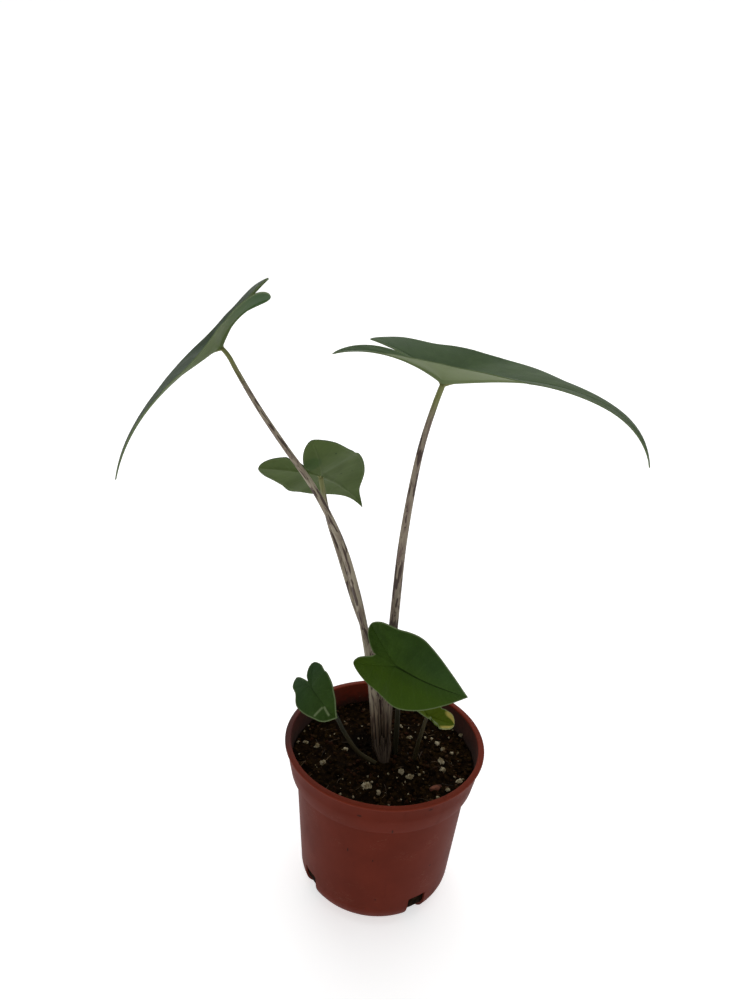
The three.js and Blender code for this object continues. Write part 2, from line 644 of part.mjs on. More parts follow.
function makeStalk(leaf) {
  const { foot, way } = stalkFoot(leaf);
  const underJoint = (distance) => new THREE.Vector3(0, 0, -distance).applyMatrix4(pose(leaf));
  const route = new THREE.CatmullRomCurve3([
    foot.clone().addScaledVector(way, -STEM_DEPTH),
    ...leaf.stalk.map((point) => new THREE.Vector3(...point)),
    underJoint(STALK_ARRIVAL),
    underJoint(JOINT_CLEARANCE),
  ], false, 'centripetal');
  const steps = Math.round(route.getLength() / STALK_STEP);
  const { normals, binormals } = route.computeFrenetFrames(steps, false);
  const points = [];
  const faces = [];
  for (let i = 0; i <= steps; i += 1) {
    const centre = route.getPointAt(i / steps);
    const radius = throughStations(leaf.stalkRadius, i / steps);
    for (let k = 0; k < STALK_SIDES; k += 1) {
      const angle = (k / STALK_SIDES) * 2 * Math.PI;
      points.push(centre.clone().addScaledVector(normals[i], radius * Math.cos(angle))
        .addScaledVector(binormals[i], radius * Math.sin(angle)).toArray());
    }
  }
  const at = (row, k) => row * STALK_SIDES + (k % STALK_SIDES);
  for (let k = 0; k < STALK_SIDES; k += 1) {
    for (let i = 0; i < steps; i += 1) {
      faces.push([at(i, k), at(i, k + 1), at(i + 1, k + 1)]);
      faces.push([at(i, k), at(i + 1, k + 1), at(i + 1, k)]);
    }
    if (k > 1) {
      faces.push([at(0, 0), at(0, k), at(0, k - 1)]);
      faces.push([at(steps, 0), at(steps, k - 1), at(steps, k)]);
    }
  }
  return closedMesh(points, faces);
}

addPiece('pot', makePot(), COLOURS.pot, 0.55);
addPiece('soil', makeSoil(), COLOURS.soil, 0.95);
for (const { name, geometry, x, y, rise, colour } of lumpPieces) {
  addPiece(name, toGeometry(toSolid(placeOnSoil(geometry, x, y, rise))), colour, 0.9);
}

// Large leaves carry a finer mesh: rows in each span, and shares from the ribs to the margin
const LARGE = 70;
const FINE = { rows: 4, outer: [0, RIB_SHARE, 0.42, 0.74, 1], inner: [0, 0.5, 1] };
const COARSE = { rows: 3, outer: [0, RIB_SHARE, 0.55, 1], inner: [0, 0.5, 1] };
for (const [name, leaf] of Object.entries(LEAVES)) {
  const { rows, outer, inner } = leaf.length + leaf.left.lobe > LARGE ? FINE : COARSE;
  const blade = makeBlade(leaf, rows, outer, inner);
  addPiece(`${name}_blade`, blade, COLOURS.blade, 0.5);
  addPiece(`${name}_stalk`, makeStalk(leaf), COLOURS.stalk, 0.6);
}

export default group;
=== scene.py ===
"""Potted zebrina alocasia: arrow leaves on striped stalks in a terracotta-coloured nursery pot.

The sizes in the tables are millimetres, as on the solids that these pieces stand for. The camera
side of the plant is -Y, +X is to the right, and the origin is the middle of the pot's underside.
"""
import math

import bpy
import numpy as np
from bpy.props import FloatProperty, FloatVectorProperty, IntProperty, PointerProperty
from mathutils import Matrix, Vector, noise


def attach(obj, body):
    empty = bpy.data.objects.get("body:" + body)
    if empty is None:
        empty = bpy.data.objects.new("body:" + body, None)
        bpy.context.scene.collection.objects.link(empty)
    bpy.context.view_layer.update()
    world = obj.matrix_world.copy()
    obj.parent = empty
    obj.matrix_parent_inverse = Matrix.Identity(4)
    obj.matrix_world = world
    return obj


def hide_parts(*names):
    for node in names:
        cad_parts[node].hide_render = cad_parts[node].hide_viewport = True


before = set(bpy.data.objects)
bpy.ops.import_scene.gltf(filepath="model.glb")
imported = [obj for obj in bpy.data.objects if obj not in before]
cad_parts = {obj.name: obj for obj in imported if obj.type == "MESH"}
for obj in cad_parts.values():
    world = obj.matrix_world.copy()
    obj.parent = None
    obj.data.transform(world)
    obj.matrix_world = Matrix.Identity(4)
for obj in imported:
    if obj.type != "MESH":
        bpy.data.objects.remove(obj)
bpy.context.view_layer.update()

bl_info = {
    "name": "Potted zebrina alocasia",
    "version": (1, 0, 0),
    "blender": (4, 5, 0),
    "location": "3D View > Sidebar > Alocasia",
    "description": "Dresses the plant, its soil and its pot, and lights them",
    "category": "Object",
}

MM = 0.001
TURN = 2 * math.pi

# Pot
POT_HEIGHT = 103
RIM_RADIUS = 60
COLLAR_FOOT = 82.3
COLLAR_FOOT_RADIUS = 55.6
COLLAR_BEND = 91.4
COLLAR_BEND_RADIUS = 57.3
COLLAR_TOP_RADIUS = 57.5
BODY_TOP_RADIUS = 52.2
BASE_RADIUS = 46.8
CORNER_RADIUS = 15
LIP_FOOT = 100.5
WALL = 1.2
FLOOR = 1.6

# Drainage notches. Their cutters start SLOT_BELOW under the base.
SLOT_COUNT = 4
SLOT_WIDTH = 12
SLOT_HEIGHT = 20
SLOT_REACH = 24
SLOT_BELOW = 4
SLOT_ROUNDING = 1.2
SLOT_FIRST_ANGLE = -56

# Soil, its gap to the pot, its mesh, and how deep the stalks stand in it
SOIL_LEVEL = 89
SOIL_MOUND = 2.5
SOIL_BUMP = 0.8
SOIL_GAP = 0.3
SOIL_RINGS = 62
SOIL_SIDES = 200
STEM_DEPTH = 11

# Stalks: sides, how high above the soil their flutes end and over what height they fade, how
# high their foot flares, and how far apart the patterns of two stalks are
STALK_SIDES = 40
FLUTES_END = 46
FLUTES_FADE = 22
FLARE_END = 14
PATTERN_SHIFT = 300

# Where the sheaths at the stalks' foot start, from left to right
SHEATHS = (-6.2, -4.9, -3.4, -1.9, -0.5, 1.0, 2.3, 3.6)

# The camera, from the ellipses of the rim, the collar and the base
CAMERA_PLACE = (-17.07, -418.34, 432.2)
CAMERA_PITCH = 22.656
CAMERA_ROLL = 4.428
CAMERA_LENS = 30.6
CAMERA_SENSOR = 36.0

# The paper's side, its rise behind the plant and the bend between, and the lamps' places and
# widths with the point that they face, all in metres
PAPER_SIDE = 6.0
PAPER_RISE = 3.5
PAPER_BEND = 1.6
TOP_LAMP = ((0.1, 0.2, 1.5), 1.6)
BACK_LAMP = ((-0.5, 1.4, 0.9), 1.2)
LAMP_TARGET = (0, 0, 0.2)

# One entry for each leaf's shape, with angles in degrees.
# at: where the stalk meets the blade. heading, pitch and bank: how the blade lies there.
# length: joint to tip. half_width: at the joint. taper: share of half_width at 1/4, 1/2 and 3/4
# of the length. droop: slope of the midrib at five even stations. sweep and twist: how far
# the tip turns sideways and rolls. wave: height of the margin's waves. lobe_taper: share of a
# lobe's outer half-width near its tip. sinus: how far behind the joint the notch ends.
# stalk: its route up from the soil's top, with stalk_radius at even stations.
# left and right, seen along the midrib from the joint: lobe is its length, spread and curl
# its angle from the midrib line and how that grows, slope its fall at the joint and the tip,
# outer and inner its half-widths, fold how far the sheet is lifted at the lobe's tip, the
# joint, the middle and the tip, inner_fold the lift of the lobe's inner web, cup the extra
# curl towards the margin, and turn the roll of the lobe.
LEAVES = {
    "leaf_right": dict(
        at=(13, 5.7, 323.3), heading=-24.7, pitch=12.1, bank=-10.2, length=121.4, half_width=37.6,
        taper=(1.1, 0.68, 0.37), lobe_taper=0.62, sinus=3.8, droop=(-0.4, 2.3, 15.4, 36, 87.1),
        sweep=-4.6, twist=-3.8, wave=0.1,
        left=dict(lobe=54.6, spread=19.8, curl=-11.1, slope=(-36.4, -16.5), outer=22.1, inner=5.5,
                  fold=(10, 26, 7, -9), inner_fold=14, cup=-9, turn=3.6),
        right=dict(lobe=66.5, spread=20.1, curl=-30.6, slope=(-39.9, 9.4), outer=12.8, inner=5.7,
                   fold=(20, 14, 0, 3), inner_fold=9, cup=1, turn=-30),
        stalk=((1.6, 5, 92), (-0.6, 5.1, 141), (-0.8, 5.3, 193), (0.2, 5.4, 236),
               (4.9, 5.6, 286), (10, 5.9, 311)),
        stalk_radius=(2.2, 2.8, 2.7, 2.5, 2.2, 1.8, 1.5)),
    "leaf_left": dict(
        at=(-100.6, 3.6, 333.3), heading=197.5, pitch=-31, bank=12.1, length=87.9, half_width=35.7,
        taper=(1.19, 0.68, 0.35), lobe_taper=0.92, sinus=1.9, droop=(-0.3, 9.4, 18.8, 32.2, 47.6),
        sweep=15, twist=2, wave=0.1,
        left=dict(lobe=36.2, spread=24, curl=-24.7, slope=(-40.3, 13.7), outer=25.1, inner=4.7,
                  fold=(-43, -4, -2, 4), inner_fold=26, cup=8, turn=54.2),
        right=dict(lobe=42.5, spread=14.9, curl=-11.6, slope=(-35.7, -10.6), outer=18.8, inner=2.9,
                   fold=(8, 8, 3, 0), inner_fold=15, cup=1, turn=-3.3),
        stalk=((-4.1, 3.4, 92), (-9.4, 3.5, 134), (-15.7, 3.4, 168), (-23.9, 3.4, 200.6),
               (-34.1, 3.3, 230.1), (-50, 3.3, 259.9), (-67.5, 3.4, 283.9),
               (-80.6, 3.4, 302.5), (-91.8, 3.4, 320.6), (-96.6, 3.5, 328.8)),
        stalk_radius=(2.2, 2.8, 2.4, 2.2, 2, 1.7, 1.45, 1.15)),
    "leaf_back": dict(
        at=(-48.9, 26.9, 259.1), heading=68, pitch=-31, bank=-28.5, length=66.5, half_width=24.2,
        taper=(0.94, 0.7, 0.24), lobe_taper=0.58, sinus=2.5, droop=(0, -5, 6, 7, 42), sweep=-4,
        twist=-1, wave=0.2,
        left=dict(lobe=38.4, spread=23.7, curl=31, slope=(-4, -8), outer=18.2, inner=12.3,
                  fold=(13, 11, 8, 9), inner_fold=12, cup=-24, turn=-8),
        right=dict(lobe=39.6, spread=23.1, curl=-12, slope=(5, -26), outer=18.9, inner=8.3,
                   fold=(7, 16, 13, 8), inner_fold=-22, cup=7, turn=-10),
        stalk=((-2.6, 9.8, 92), (-7.2, 12.2, 133), (-14.5, 15.2, 161), (-24, 18, 184),
               (-34.5, 21.6, 212), (-42.6, 24.6, 233.5)),
        stalk_radius=(2, 2.3, 2.2, 2.1, 1.9, 1.6, 1.4)),
    "leaf_front": dict(
        at=(0.9, -29, 173.8), heading=-31, pitch=-8, bank=70, length=42.7, half_width=21.2,
        taper=(0.96, 0.74, 0.4), lobe_taper=0.62, sinus=13.7, droop=(0, 1, 16, 26, 28), sweep=4,
        twist=1, wave=0.15,
        left=dict(lobe=26.8, spread=28.4, curl=4, slope=(4, 3), outer=16.3, inner=7.3,
                  fold=(18, 5, 7, 10), inner_fold=11, cup=-14, turn=21),
        right=dict(lobe=28, spread=26.1, curl=-1, slope=(6, 10), outer=16.8, inner=5.3,
                   fold=(-6, 9, 9, 7), inner_fold=4, cup=-18, turn=-18),
        stalk=((6.8, 1, 92), (6.3, -2.1, 113), (5.6, -7, 134), (6, -14, 158)),
        stalk_radius=(1.5, 1.6, 1.4, 1.2, 1.2)),
    "leaf_low": dict(
        at=(-43.3, -32.8, 158.2), heading=-61, pitch=-7, bank=56.5, length=26.8, half_width=13.1,
        taper=(0.94, 0.74, 0.51), lobe_taper=0.61, sinus=5.5, droop=(0, 5, 1, 2, 13), sweep=14,
        twist=2, wave=0.1,
        left=dict(lobe=15, spread=27.5, curl=19, slope=(1, 7), outer=10.1, inner=3.6,
                  fold=(9, 11, 4, 7), inner_fold=9, cup=-16, turn=-5),
        right=dict(lobe=18.3, spread=21.9, curl=0, slope=(0, 14), outer=7.5, inner=2.2,
                   fold=(12, 12, 6, 2), inner_fold=11, cup=-13, turn=6),
        stalk=((-6.3, -9, 92), (-15.3, -12.6, 101), (-24, -20, 120), (-32, -26, 140)),
        stalk_radius=(1.3, 1.3, 1.2, 1.1, 1)),
    "leaf_small": dict(
        at=(21.6, -21, 137.3), heading=115, pitch=5.4, bank=2, length=28, half_width=10.3,
        taper=(1, 0.78, 0.42), lobe_taper=0.77, sinus=2.4, droop=(0, 5, 12, 25, 25), sweep=0,
        twist=0, wave=0.1,
        left=dict(lobe=7.5, spread=26, curl=2, slope=(-26, -32), outer=6.9, inner=2.2,
                  fold=(20, 25, 12, 8), inner_fold=10, cup=1, turn=2),
        right=dict(lobe=16.3, spread=36.7, curl=19, slope=(-3, 2), outer=8.3, inner=6.5,
                   fold=(10, 16, 8, 8), inner_fold=3, cup=1, turn=2),
        stalk=((18.8, -3.4, 92), (19.5, -8.3, 107), (20.4, -14.5, 121)),
        stalk_radius=(1.2, 1.2, 1.1, 1)),
}

# What sets a leaf's finish apart, from 0 to 1 where nothing else is said. A pair of values runs
# from the blade's tip to its lobes.
# rim: how clearly the margin shows. sunk: painted shade, a dark line over the midrib's groove.
# young: a young leaf's yellow green. blue: a bluish green, in part painted sheen. warm: painted
# light, a yellower right half. painted_sheen: a greyish haze of painted sheen. deep_left and
# deep_right: halves darkened by painted shade, which blend over that many millimetres. pale: a
# paler, greyer underside, in part painted sheen. shaded_green: painted shade, a darker, greener
# left lobe below. yellow_lobe: the lobe that ends yellow, 1 for left and -1 for right.
# strokes: pale strokes, each between two points of the flat blade. dusk: a mauve stalk. dim:
# painted shade that darkens a stalk, in its lower and its upper half.
PLAIN_LOOKS = dict(
    sunk=0.2, young=0, blue=(0, 0), warm=0, painted_sheen=(0, 0), deep_left=(0, 0),
    deep_right=(0, 0), blend=2.0, pale=(0, 0), shaded_green=0, yellow_lobe=0, strokes=(), dusk=0,
    dim=(0, 0))
LOOKS = {
    "leaf_right": dict(rim=0.55, blue=(0, 0.35), painted_sheen=(0.12, 0.3), deep_left=(0.35, 0),
                       deep_right=(0.35, 0), pale=(0.9, 0.35), dusk=0.6),
    "leaf_left": dict(rim=0.7, blue=(1, 1), deep_left=(0.25, 0.2), deep_right=(0.6, 0.5),
                      pale=(0.3, 0), shaded_green=1),
    "leaf_back": dict(rim=0.1, blue=(0.5, 0.5)),
    "leaf_front": dict(rim=0.6, sunk=0.9, blue=(0.6, 0), warm=0.6, deep_left=(0.05, 0.4),
                       deep_right=(0.05, 0.1), blend=7.0, dim=(0.7, 0.65)),
    "leaf_low": dict(rim=0.6, blue=(0.1, 1), deep_left=(0.3, 0.1), deep_right=(0.35, 0.1),
                     strokes=(((13.3, -7.9), (14.6, -1.9)), ((15.8, -0.6), (21.5, -1.6))),
                     dim=(0, 0.85)),
    "leaf_small": dict(rim=0.7, young=0.75, yellow_lobe=-1),
}

# How the blades are laid out: steps along a rib, how far a lobe's rib is followed past its end,
# where along the midrib the middle fold lies, and the angles between which the sheet passes
# from the midrib to a lobe's rib
SPINE_STEPS = 48
LOBE_REACH = 1.15
FOLD_MIDDLE = 0.45
FAN_START = 45
FAN_END = 135

# Stations round a half's margin, from 0 at the tip past the joint to the lobe's tip, and on to
# the notch. Cross lines join them to feet on the ribs: shares of the midrib, and below 0 of
# the lobe's rib. VEIN_SPACING is the stations from one side vein to the next.
OUTER_SPANS = 7
INNER_SPANS = 3
JOINT_STATION = 4
RIB_FEET = (1, 0.7, 0.45, 0.2, 0, -0.42, -0.8, -1)
MARGIN_WAVES = 5
VEIN_SPACING = 0.66

# Faces across and along the patches outside and between the ribs, and how they crowd to a rib
OUTER_GRID = (18, 70)
INNER_GRID = (8, 30)
RIB_CROWDING = 1.7

# Half-width of the rib at stations, and of its ridge and groove as shares of it
RIB_STATIONS = (0, 1, 3, 4, 5, 7)
RIB_WIDTHS = (0.15, 0.5, 0.9, 1.25, 0.8, 0.2)
RIDGE_WIDTH = 1.6
GROOVE_WIDTH = 1.3
GROOVE_DEPTH = 0.3

# A leaf longer than this has a ripe stalk: marked, fluted at its foot, with strands at its top
RIPE_LENGTH = 50

# Dark specks on the pot, as angle, height, half-width and half-height
POT_SPECKS = (
    (-102.4, 93.7, 1.5, 0.8), (-83.1, 83.5, 0.5, 2.8), (-62.1, 97.0, 1.5, 0.5),
    (-65.3, 94.2, 0.7, 0.6), (-109.9, 60.4, 0.4, 1.4), (-92.9, 56.0, 0.4, 0.8),
    (-49.5, 43.1, 0.6, 0.6), (-88.6, 23.4, 0.5, 0.5),
)

# On the underside of the back leaf: a patch of painted shade by the notch, and small dark specks
NOTCH_SHADE = ((-53.0, 10.0, 271.0, 6.0, 6.0),)
LEAF_SPECKS = ((-39.9, 11.6, 278.2, 0.6, 0.9), (-37.9, 41.5, 255.4, 0.7, 0.6),
               (-31.9, 46.6, 256.0, 0.5, 0.6))

# Middle of the hollow in the soil beside the stalks, and of the painted shade in it
HOLLOW = (-15, 9)

# Perlite grains that show on the soil, as x, y and size
GRAINS = (
    (-53, 6, 2.0), (-50, 17, 1.8), (30, 18, 2.4), (33, 12, 3.4), (36.5, 9, 3.0), (49, 25, 3.0),
    (11, 27, 1.9), (32, -33, 2.2), (-23, 0, 2.2), (42, 6, 2.4), (4, -42, 1.8), (-24, -37, 1.6),
    (38, -27, 2.8), (-9, 35, 2.0), (26, 18, 1.8), (24, -15, 1.6), (43, -14, 2.0), (35, -10, 1.8),
)

# Tints of marks, dirt and fixed pieces, and of painted light: painted shade on the lip's left
# back, down the inside wall, in the soil's hollow, in the grooves at the stalks' foot and on dim
# stalks, and a greyer painted tone on the inside wall's flanks
TINTS = dict(
    lip_shade="3d2625", pot_smear="2c130c", pot_speck="1a0c08", pot_dust="24100b",
    pot_scuff="8a5a4c", pot_mark="2a120d", wall_shade="140a07", wall_grime="33261c",
    wall_flank="453732", wall_drop="7d6a5c", hollow="090604", mix_fleck="3a2a1d",
    crumb_red="301a10", crumb_brown="3c2a1c", crumb_tan="574330", stone_stain="6b5830",
    stone_pore="21170f", bark_dark="3d1d14", bark_light="7a4530", leaf_speck="1c2210",
    leaf_freckle="2a2c18", foot_light="7d6650", foot_dark="3d2b1d", foot_groove="1c120b",
    stalk_foot_dark="2c1c0e", dim_stalk="1b1d12", fibre_dark="241810", fibre_light="6a553b",
)


# ---------------------------------------------------------------- shader tools

def paint(tint):
    """One of the tints, as the linear values that Blender uses"""
    def linear(part):
        share = int(part, 16) / 255
        return share / 12.92 if share <= 0.04045 else ((share + 0.055) / 1.055) ** 2.4
    return tuple(linear(TINTS[tint][i:i + 2]) for i in (0, 2, 4)) + (1.0,)


def opaque(colour, share=1.0):
    """A colour setting at a share of its brightness, with its alpha"""
    return tuple(share * part for part in colour) + (1.0,)


class Value:
    """A socket of a material, so that its maths is written as on numbers"""

    def __init__(self, finish, socket):
        self.finish = finish
        self.socket = socket

    def math(self, operation, *others):
        return self.finish.math(operation, self, *others)

    def __add__(self, other):
        return self.math("ADD", other)

    def __radd__(self, other):
        return self.math("ADD", other)

    def __sub__(self, other):
        return self.math("SUBTRACT", other)

    def __rsub__(self, other):
        return self.finish.math("SUBTRACT", other, self)

    def __mul__(self, other):
        return self.math("MULTIPLY", other)

    def __rmul__(self, other):
        return self.math("MULTIPLY", other)

    def __abs__(self):
        return self.math("ABSOLUTE")


class Finish:
    """One material, built from its nodes"""

    def __init__(self, name, **constants):
        self.material = bpy.data.materials.new(name)
        self.material.use_nodes = True
        self.tree = self.material.node_tree
        self.tree.nodes.clear()
        self.shader = self.tree.nodes.new("ShaderNodeBsdfPrincipled")
        output = self.tree.nodes.new("ShaderNodeOutputMaterial")
        self.tree.links.new(self.shader.outputs["BSDF"], output.inputs["Surface"])
        for label, value in constants.items():
            label = label.replace("_", " ").title().replace("Ior", "IOR")
            self.shader.inputs[label].default_value = value

    def feed(self, socket, value):
        if isinstance(value, Value):
            self.tree.links.new(value.socket, socket)
        else:
            socket.default_value = value

    def node(self, kind, sockets=None, output=0, **settings):
        """Adds a node: its settings first, then the values or links of its sockets"""
        node = self.tree.nodes.new("ShaderNode" + kind)
        stops = settings.pop("stops", None)
        for setting, value in settings.items():
            setattr(node, setting, value)
        if stops:
            ramp = node.color_ramp
            for i, (position, colour) in enumerate(stops):
                stop = ramp.elements[i] if i < 2 else ramp.elements.new(position)
                stop.position = position
                stop.color = colour
        for socket, value in (sockets or {}).items():
            self.feed(node.inputs[socket], value)
        return Value(self, node.outputs[output])

    def math(self, operation, *values):
        return self.node("Math", dict(enumerate(values)), operation=operation)

    def vector_math(self, operation, *values, output=0, scale=None):
        sockets = dict(enumerate(values))
        if scale is not None:
            sockets["Scale"] = scale
        return self.node("VectorMath", sockets, output, operation=operation)

    def ramp(self, value, low, high):
        """0 below low, 1 above high, and smooth between; low may be the larger"""
        sockets = {"Value": value, "From Min": low, "From Max": high}
        return self.node("MapRange", sockets, interpolation_type="SMOOTHSTEP")

    def mixed(self, mask, first, second):
        """The first colour, and the second where the mask is 1"""
        return self.node("Mix", {0: mask, 6: first, 7: second}, 2, data_type="RGBA")

    def layered(self, base, *layers):
        """Colours laid over a base, each given as its mask and the colour"""
        for mask, colour in layers:
            base = self.mixed(mask, base, colour)
        return base

    def own(self, attribute):
        return self.node("Attribute", output="Fac", attribute_name=attribute)

    def place(self):
        """Object coordinates in millimetres"""
        here = self.node("TexCoord", output="Object")
        return self.vector_math("SCALE", here, scale=1000.0)

    def part_of(self, vector, axis):
        return self.node("SeparateXYZ", {0: vector}, axis)

    def stretched(self, vector, x, y, z):
        return self.vector_math("MULTIPLY", vector, (x, y, z))

    def speckle(self, vector, size, detail=3.0, roughness=0.55, distortion=0.0, w=0.0):
        """Noise with features of about that size in millimetres, from 0 to 1"""
        return self.node("TexNoise", {
            "Vector": vector, "W": w, "Scale": 1.0 / size, "Detail": detail,
            "Roughness": roughness, "Distortion": distortion}, noise_dimensions="4D")

    def near(self, here, marks, fray):
        """Small marks, each at a place in millimetres with its half-width and half-height"""
        mask = 0.0
        for *spot, wide, high in marks:
            apart = self.vector_math("SUBTRACT", here, tuple(spot))
            apart = self.stretched(apart, 1 / wide, 1 / wide, 1 / high)
            reach = self.vector_math("LENGTH", apart, output="Value") + fray
            mask = self.math("MAXIMUM", self.ramp(reach, 1.25, 0.8), mask)
        return mask

    def done(self, colour, roughness, height=None, depth=0.0):
        """The material, with bumps of that depth in millimetres where height goes from 0 to 1"""
        self.feed(self.shader.inputs["Base Color"], colour)
        self.feed(self.shader.inputs["Roughness"], roughness)
        if height is not None:
            bump = self.node("Bump", {"Height": height, "Strength": 1.0, "Distance": depth * MM},
                             output="Normal")
            self.feed(self.shader.inputs["Normal"], bump)
        return self.material


# ---------------------------------------------------------------- materials

def wall_radius(height):
    """Radius of the pot's outside at a height above its base corner"""
    return float(np.interp(height, (CORNER_RADIUS, COLLAR_FOOT, COLLAR_FOOT + 0.1, POT_HEIGHT),
                           (BASE_RADIUS, BODY_TOP_RADIUS, COLLAR_FOOT_RADIUS, COLLAR_TOP_RADIUS)))


def pot_plastic(colours):
    finish = Finish("pot_plastic", specular_ior_level=0.055)
    here = finish.place()
    across, depth, height = (finish.part_of(here, axis) for axis in range(3))
    cloud = finish.speckle(here, 22.0, 4.0)
    grain = finish.speckle(here, 0.6, 2.0)
    # Painted light on the lip: its colour is a lighter copy of the pot's, for the light on its top,
    # and painted shade darkens its left back
    shaded = finish.ramp(across, -44.0, -60.0) * finish.ramp(depth, -30.0, -8.0)
    lip = finish.mixed(shaded * 0.8, opaque(colours.pot_lip), paint("lip_shade"))
    streaks = finish.speckle(finish.stretched(here, 1.0, 1.0, 0.22), 10.0, 5.0, 0.7)
    smear = finish.ramp(streaks, 0.58, 0.8)
    low = finish.ramp(height, 30.0, 1.0)
    speck = finish.ramp(finish.speckle(here, 1.3, 1.0), 0.76, 0.8)
    dust = finish.ramp(finish.speckle(here, 4.0, 5.0, 0.75), 0.45, 0.75)
    scratches = finish.speckle(finish.stretched(here, 0.5, 0.5, 2.2), 2.6, 2.0, 0.5, 0.3, 5.0)
    rare = finish.ramp(finish.speckle(here, 15.0, 1.0, 0.5, 0.0, 9.0), 0.55, 0.65)
    scuff = finish.ramp(abs(scratches - 0.5), 0.012, 0.004) * rare
    marks = []
    for angle, z, wide, high in POT_SPECKS:
        radius, turn = wall_radius(z), math.radians(angle)
        marks.append((radius * math.cos(turn), radius * math.sin(turn), z, wide, high))
    body = finish.layered(
        opaque(colours.pot),
        (finish.ramp(cloud, 0.35, 0.7), opaque(colours.pot, 0.84)),
        (finish.ramp(height, LIP_FOOT + 0.2, LIP_FOOT + 1.2), lip),
        (smear * 0.4, paint("pot_smear")),
        (speck * (0.2 + 0.6 * low), paint("pot_speck")),
        (dust * low * 0.45, paint("pot_dust")),
        (scuff * finish.ramp(height, 95.0, 85.0) * 0.35, paint("pot_scuff")),
        (finish.near(here, marks, grain - 0.5) * 0.75, paint("pot_mark")))
    return finish.done(body, 0.46 + 0.14 * cloud + 0.1 * smear, grain * 0.3 + cloud * 0.7, 0.06)


def pot_inside(colours):
    """The wall above the soil, smeared with potting mix. Painted light: a lighter copy of the pot's
    colour, darkened by painted shade down towards the soil, with a greyer tone on its flanks
    """
    finish = Finish("pot_inside", specular_ior_level=0.2)
    here = finish.place()
    smear = finish.speckle(here, 7.0, 5.0, 0.7)
    # Painted shade: darker down towards the soil, along an edge made uneven by the smear noise
    darker_low = finish.ramp(finish.part_of(here, 2) + smear * 9.0, POT_HEIGHT + 1.0, SOIL_LEVEL + 3.0)
    grime = finish.ramp(finish.speckle(here, 6.0, 4.0, 0.6, 0.0, 7.0), 0.4, 0.62)
    drops = finish.ramp(finish.speckle(here, 1.5, 1.0, 0.5, 0.0, 2.0), 0.72, 0.77)
    body = finish.layered(
        opaque(colours.pot, 1.7),
        (darker_low * 0.85, paint("wall_shade")),
        (grime * (0.25 + 0.4 * darker_low), paint("wall_grime")),
        # Painted light: a greyer, duller tone on the wall's left and right flanks
        (finish.ramp(abs(finish.part_of(here, 0)), 26.0, 42.0) * 0.75, paint("wall_flank")),
        (drops * 0.5, paint("wall_drop")))
    return finish.done(body, 0.5 + 0.3 * smear, smear, 0.15)


def shaded_soil(finish, body):
    """The soil's colour with painted shade in the hollow beside the stalks"""
    apart = finish.vector_math("SUBTRACT", finish.place(), (*HOLLOW, SOIL_LEVEL))
    near = finish.ramp(finish.vector_math("LENGTH", apart, output="Value"), 15.0, 6.0)
    return finish.mixed(near * 0.8, body, paint("hollow"))


def potting_mix(colours):
    finish = Finish("potting_mix", specular_ior_level=0.02)
    here = finish.place()
    coarse = finish.speckle(here, 3.5, 5.0, 0.7)
    fine = finish.speckle(here, 0.8, 3.0, 0.7)
    body = finish.layered(
        opaque(colours.soil_dark),
        (finish.ramp(coarse, 0.42, 0.75), opaque(colours.soil_light)),
        (finish.ramp(fine, 0.66, 0.82) * 0.4, paint("mix_fleck")))
    body = shaded_soil(finish, body)
    return finish.done(body, 0.85 + 0.12 * fine, coarse * 0.6 + fine * 0.4, 0.9)


def crumb_mix(colours):
    """Crumbs, each with its own shade from near black through red-brown to tan"""
    finish = Finish("crumb_mix", specular_ior_level=0.02)
    fine = finish.speckle(finish.place(), 0.7, 3.0, 0.7)
    shade = finish.own("shade") + (fine - 0.5) * 0.2
    body = finish.node("ValToRGB", {"Fac": shade}, stops=(
        (0.0, opaque(colours.soil_dark)), (1.0, paint("crumb_tan")),
        (0.5, opaque(colours.soil_light)), (0.8, paint("crumb_red")), (0.93, paint("crumb_brown"))))
    return finish.done(shaded_soil(finish, body), 0.82 + 0.12 * fine, fine, 0.3)


def perlite_stone(colours):
    """White puffed stone with dark pores and soil in its hollows"""
    finish = Finish("perlite_stone", specular_ior_level=0.3)
    here = finish.place()
    pores = finish.speckle(here, 0.9, 3.0, 0.7)
    stain = finish.speckle(here, 2.6, 3.0, 0.6)
    body = finish.layered(
        opaque(colours.perlite),
        (finish.ramp(stain, 0.36, 0.62) * 0.85, paint("stone_stain")),
        (finish.ramp(pores, 0.55, 0.68) * 0.9, paint("stone_pore")))
    return finish.done(body, 0.78 + 0.15 * pores, 1.0 - pores, 0.5)


def bark_skin():
    finish = Finish("bark_skin", specular_ior_level=0.3)
    grain = finish.speckle(finish.stretched(finish.place(), 0.35, 1.0, 1.0), 1.2, 5.0, 0.65, 0.4)
    body = finish.mixed(finish.ramp(grain, 0.35, 0.65), paint("bark_dark"), paint("bark_light"))
    return finish.done(body, 0.75 + 0.15 * grain, grain, 0.5)


def blade_finish(name, specular):
    return Finish(name, specular_ior_level=specular, subsurface_weight=0.04,
                  subsurface_radius=(0.5, 1.0, 0.25), subsurface_scale=0.001)


def vein_lines(finish, width):
    """Side veins and ribs of a blade, each from 0 to 1"""
    out, taper = finish.own("share_out"), finish.own("rib_width")
    gap = abs(finish.math("FRACT", finish.own("vein_phase")) - 0.5) * finish.own("vein_span")
    slim = width * (1.15 - 0.75 * out)
    side = finish.ramp(gap, slim, slim * 0.25) * finish.ramp(out, 0.97, 0.8)
    return side, finish.ramp(finish.own("reach"), taper, taper * 0.35)


def margin_layer(finish, colours):
    """The thin pale edge of a blade, as a layer of its colour"""
    return finish.ramp(finish.own("to_edge"), 0.9, 0.3) * finish.own("rim"), opaque(colours.margin)


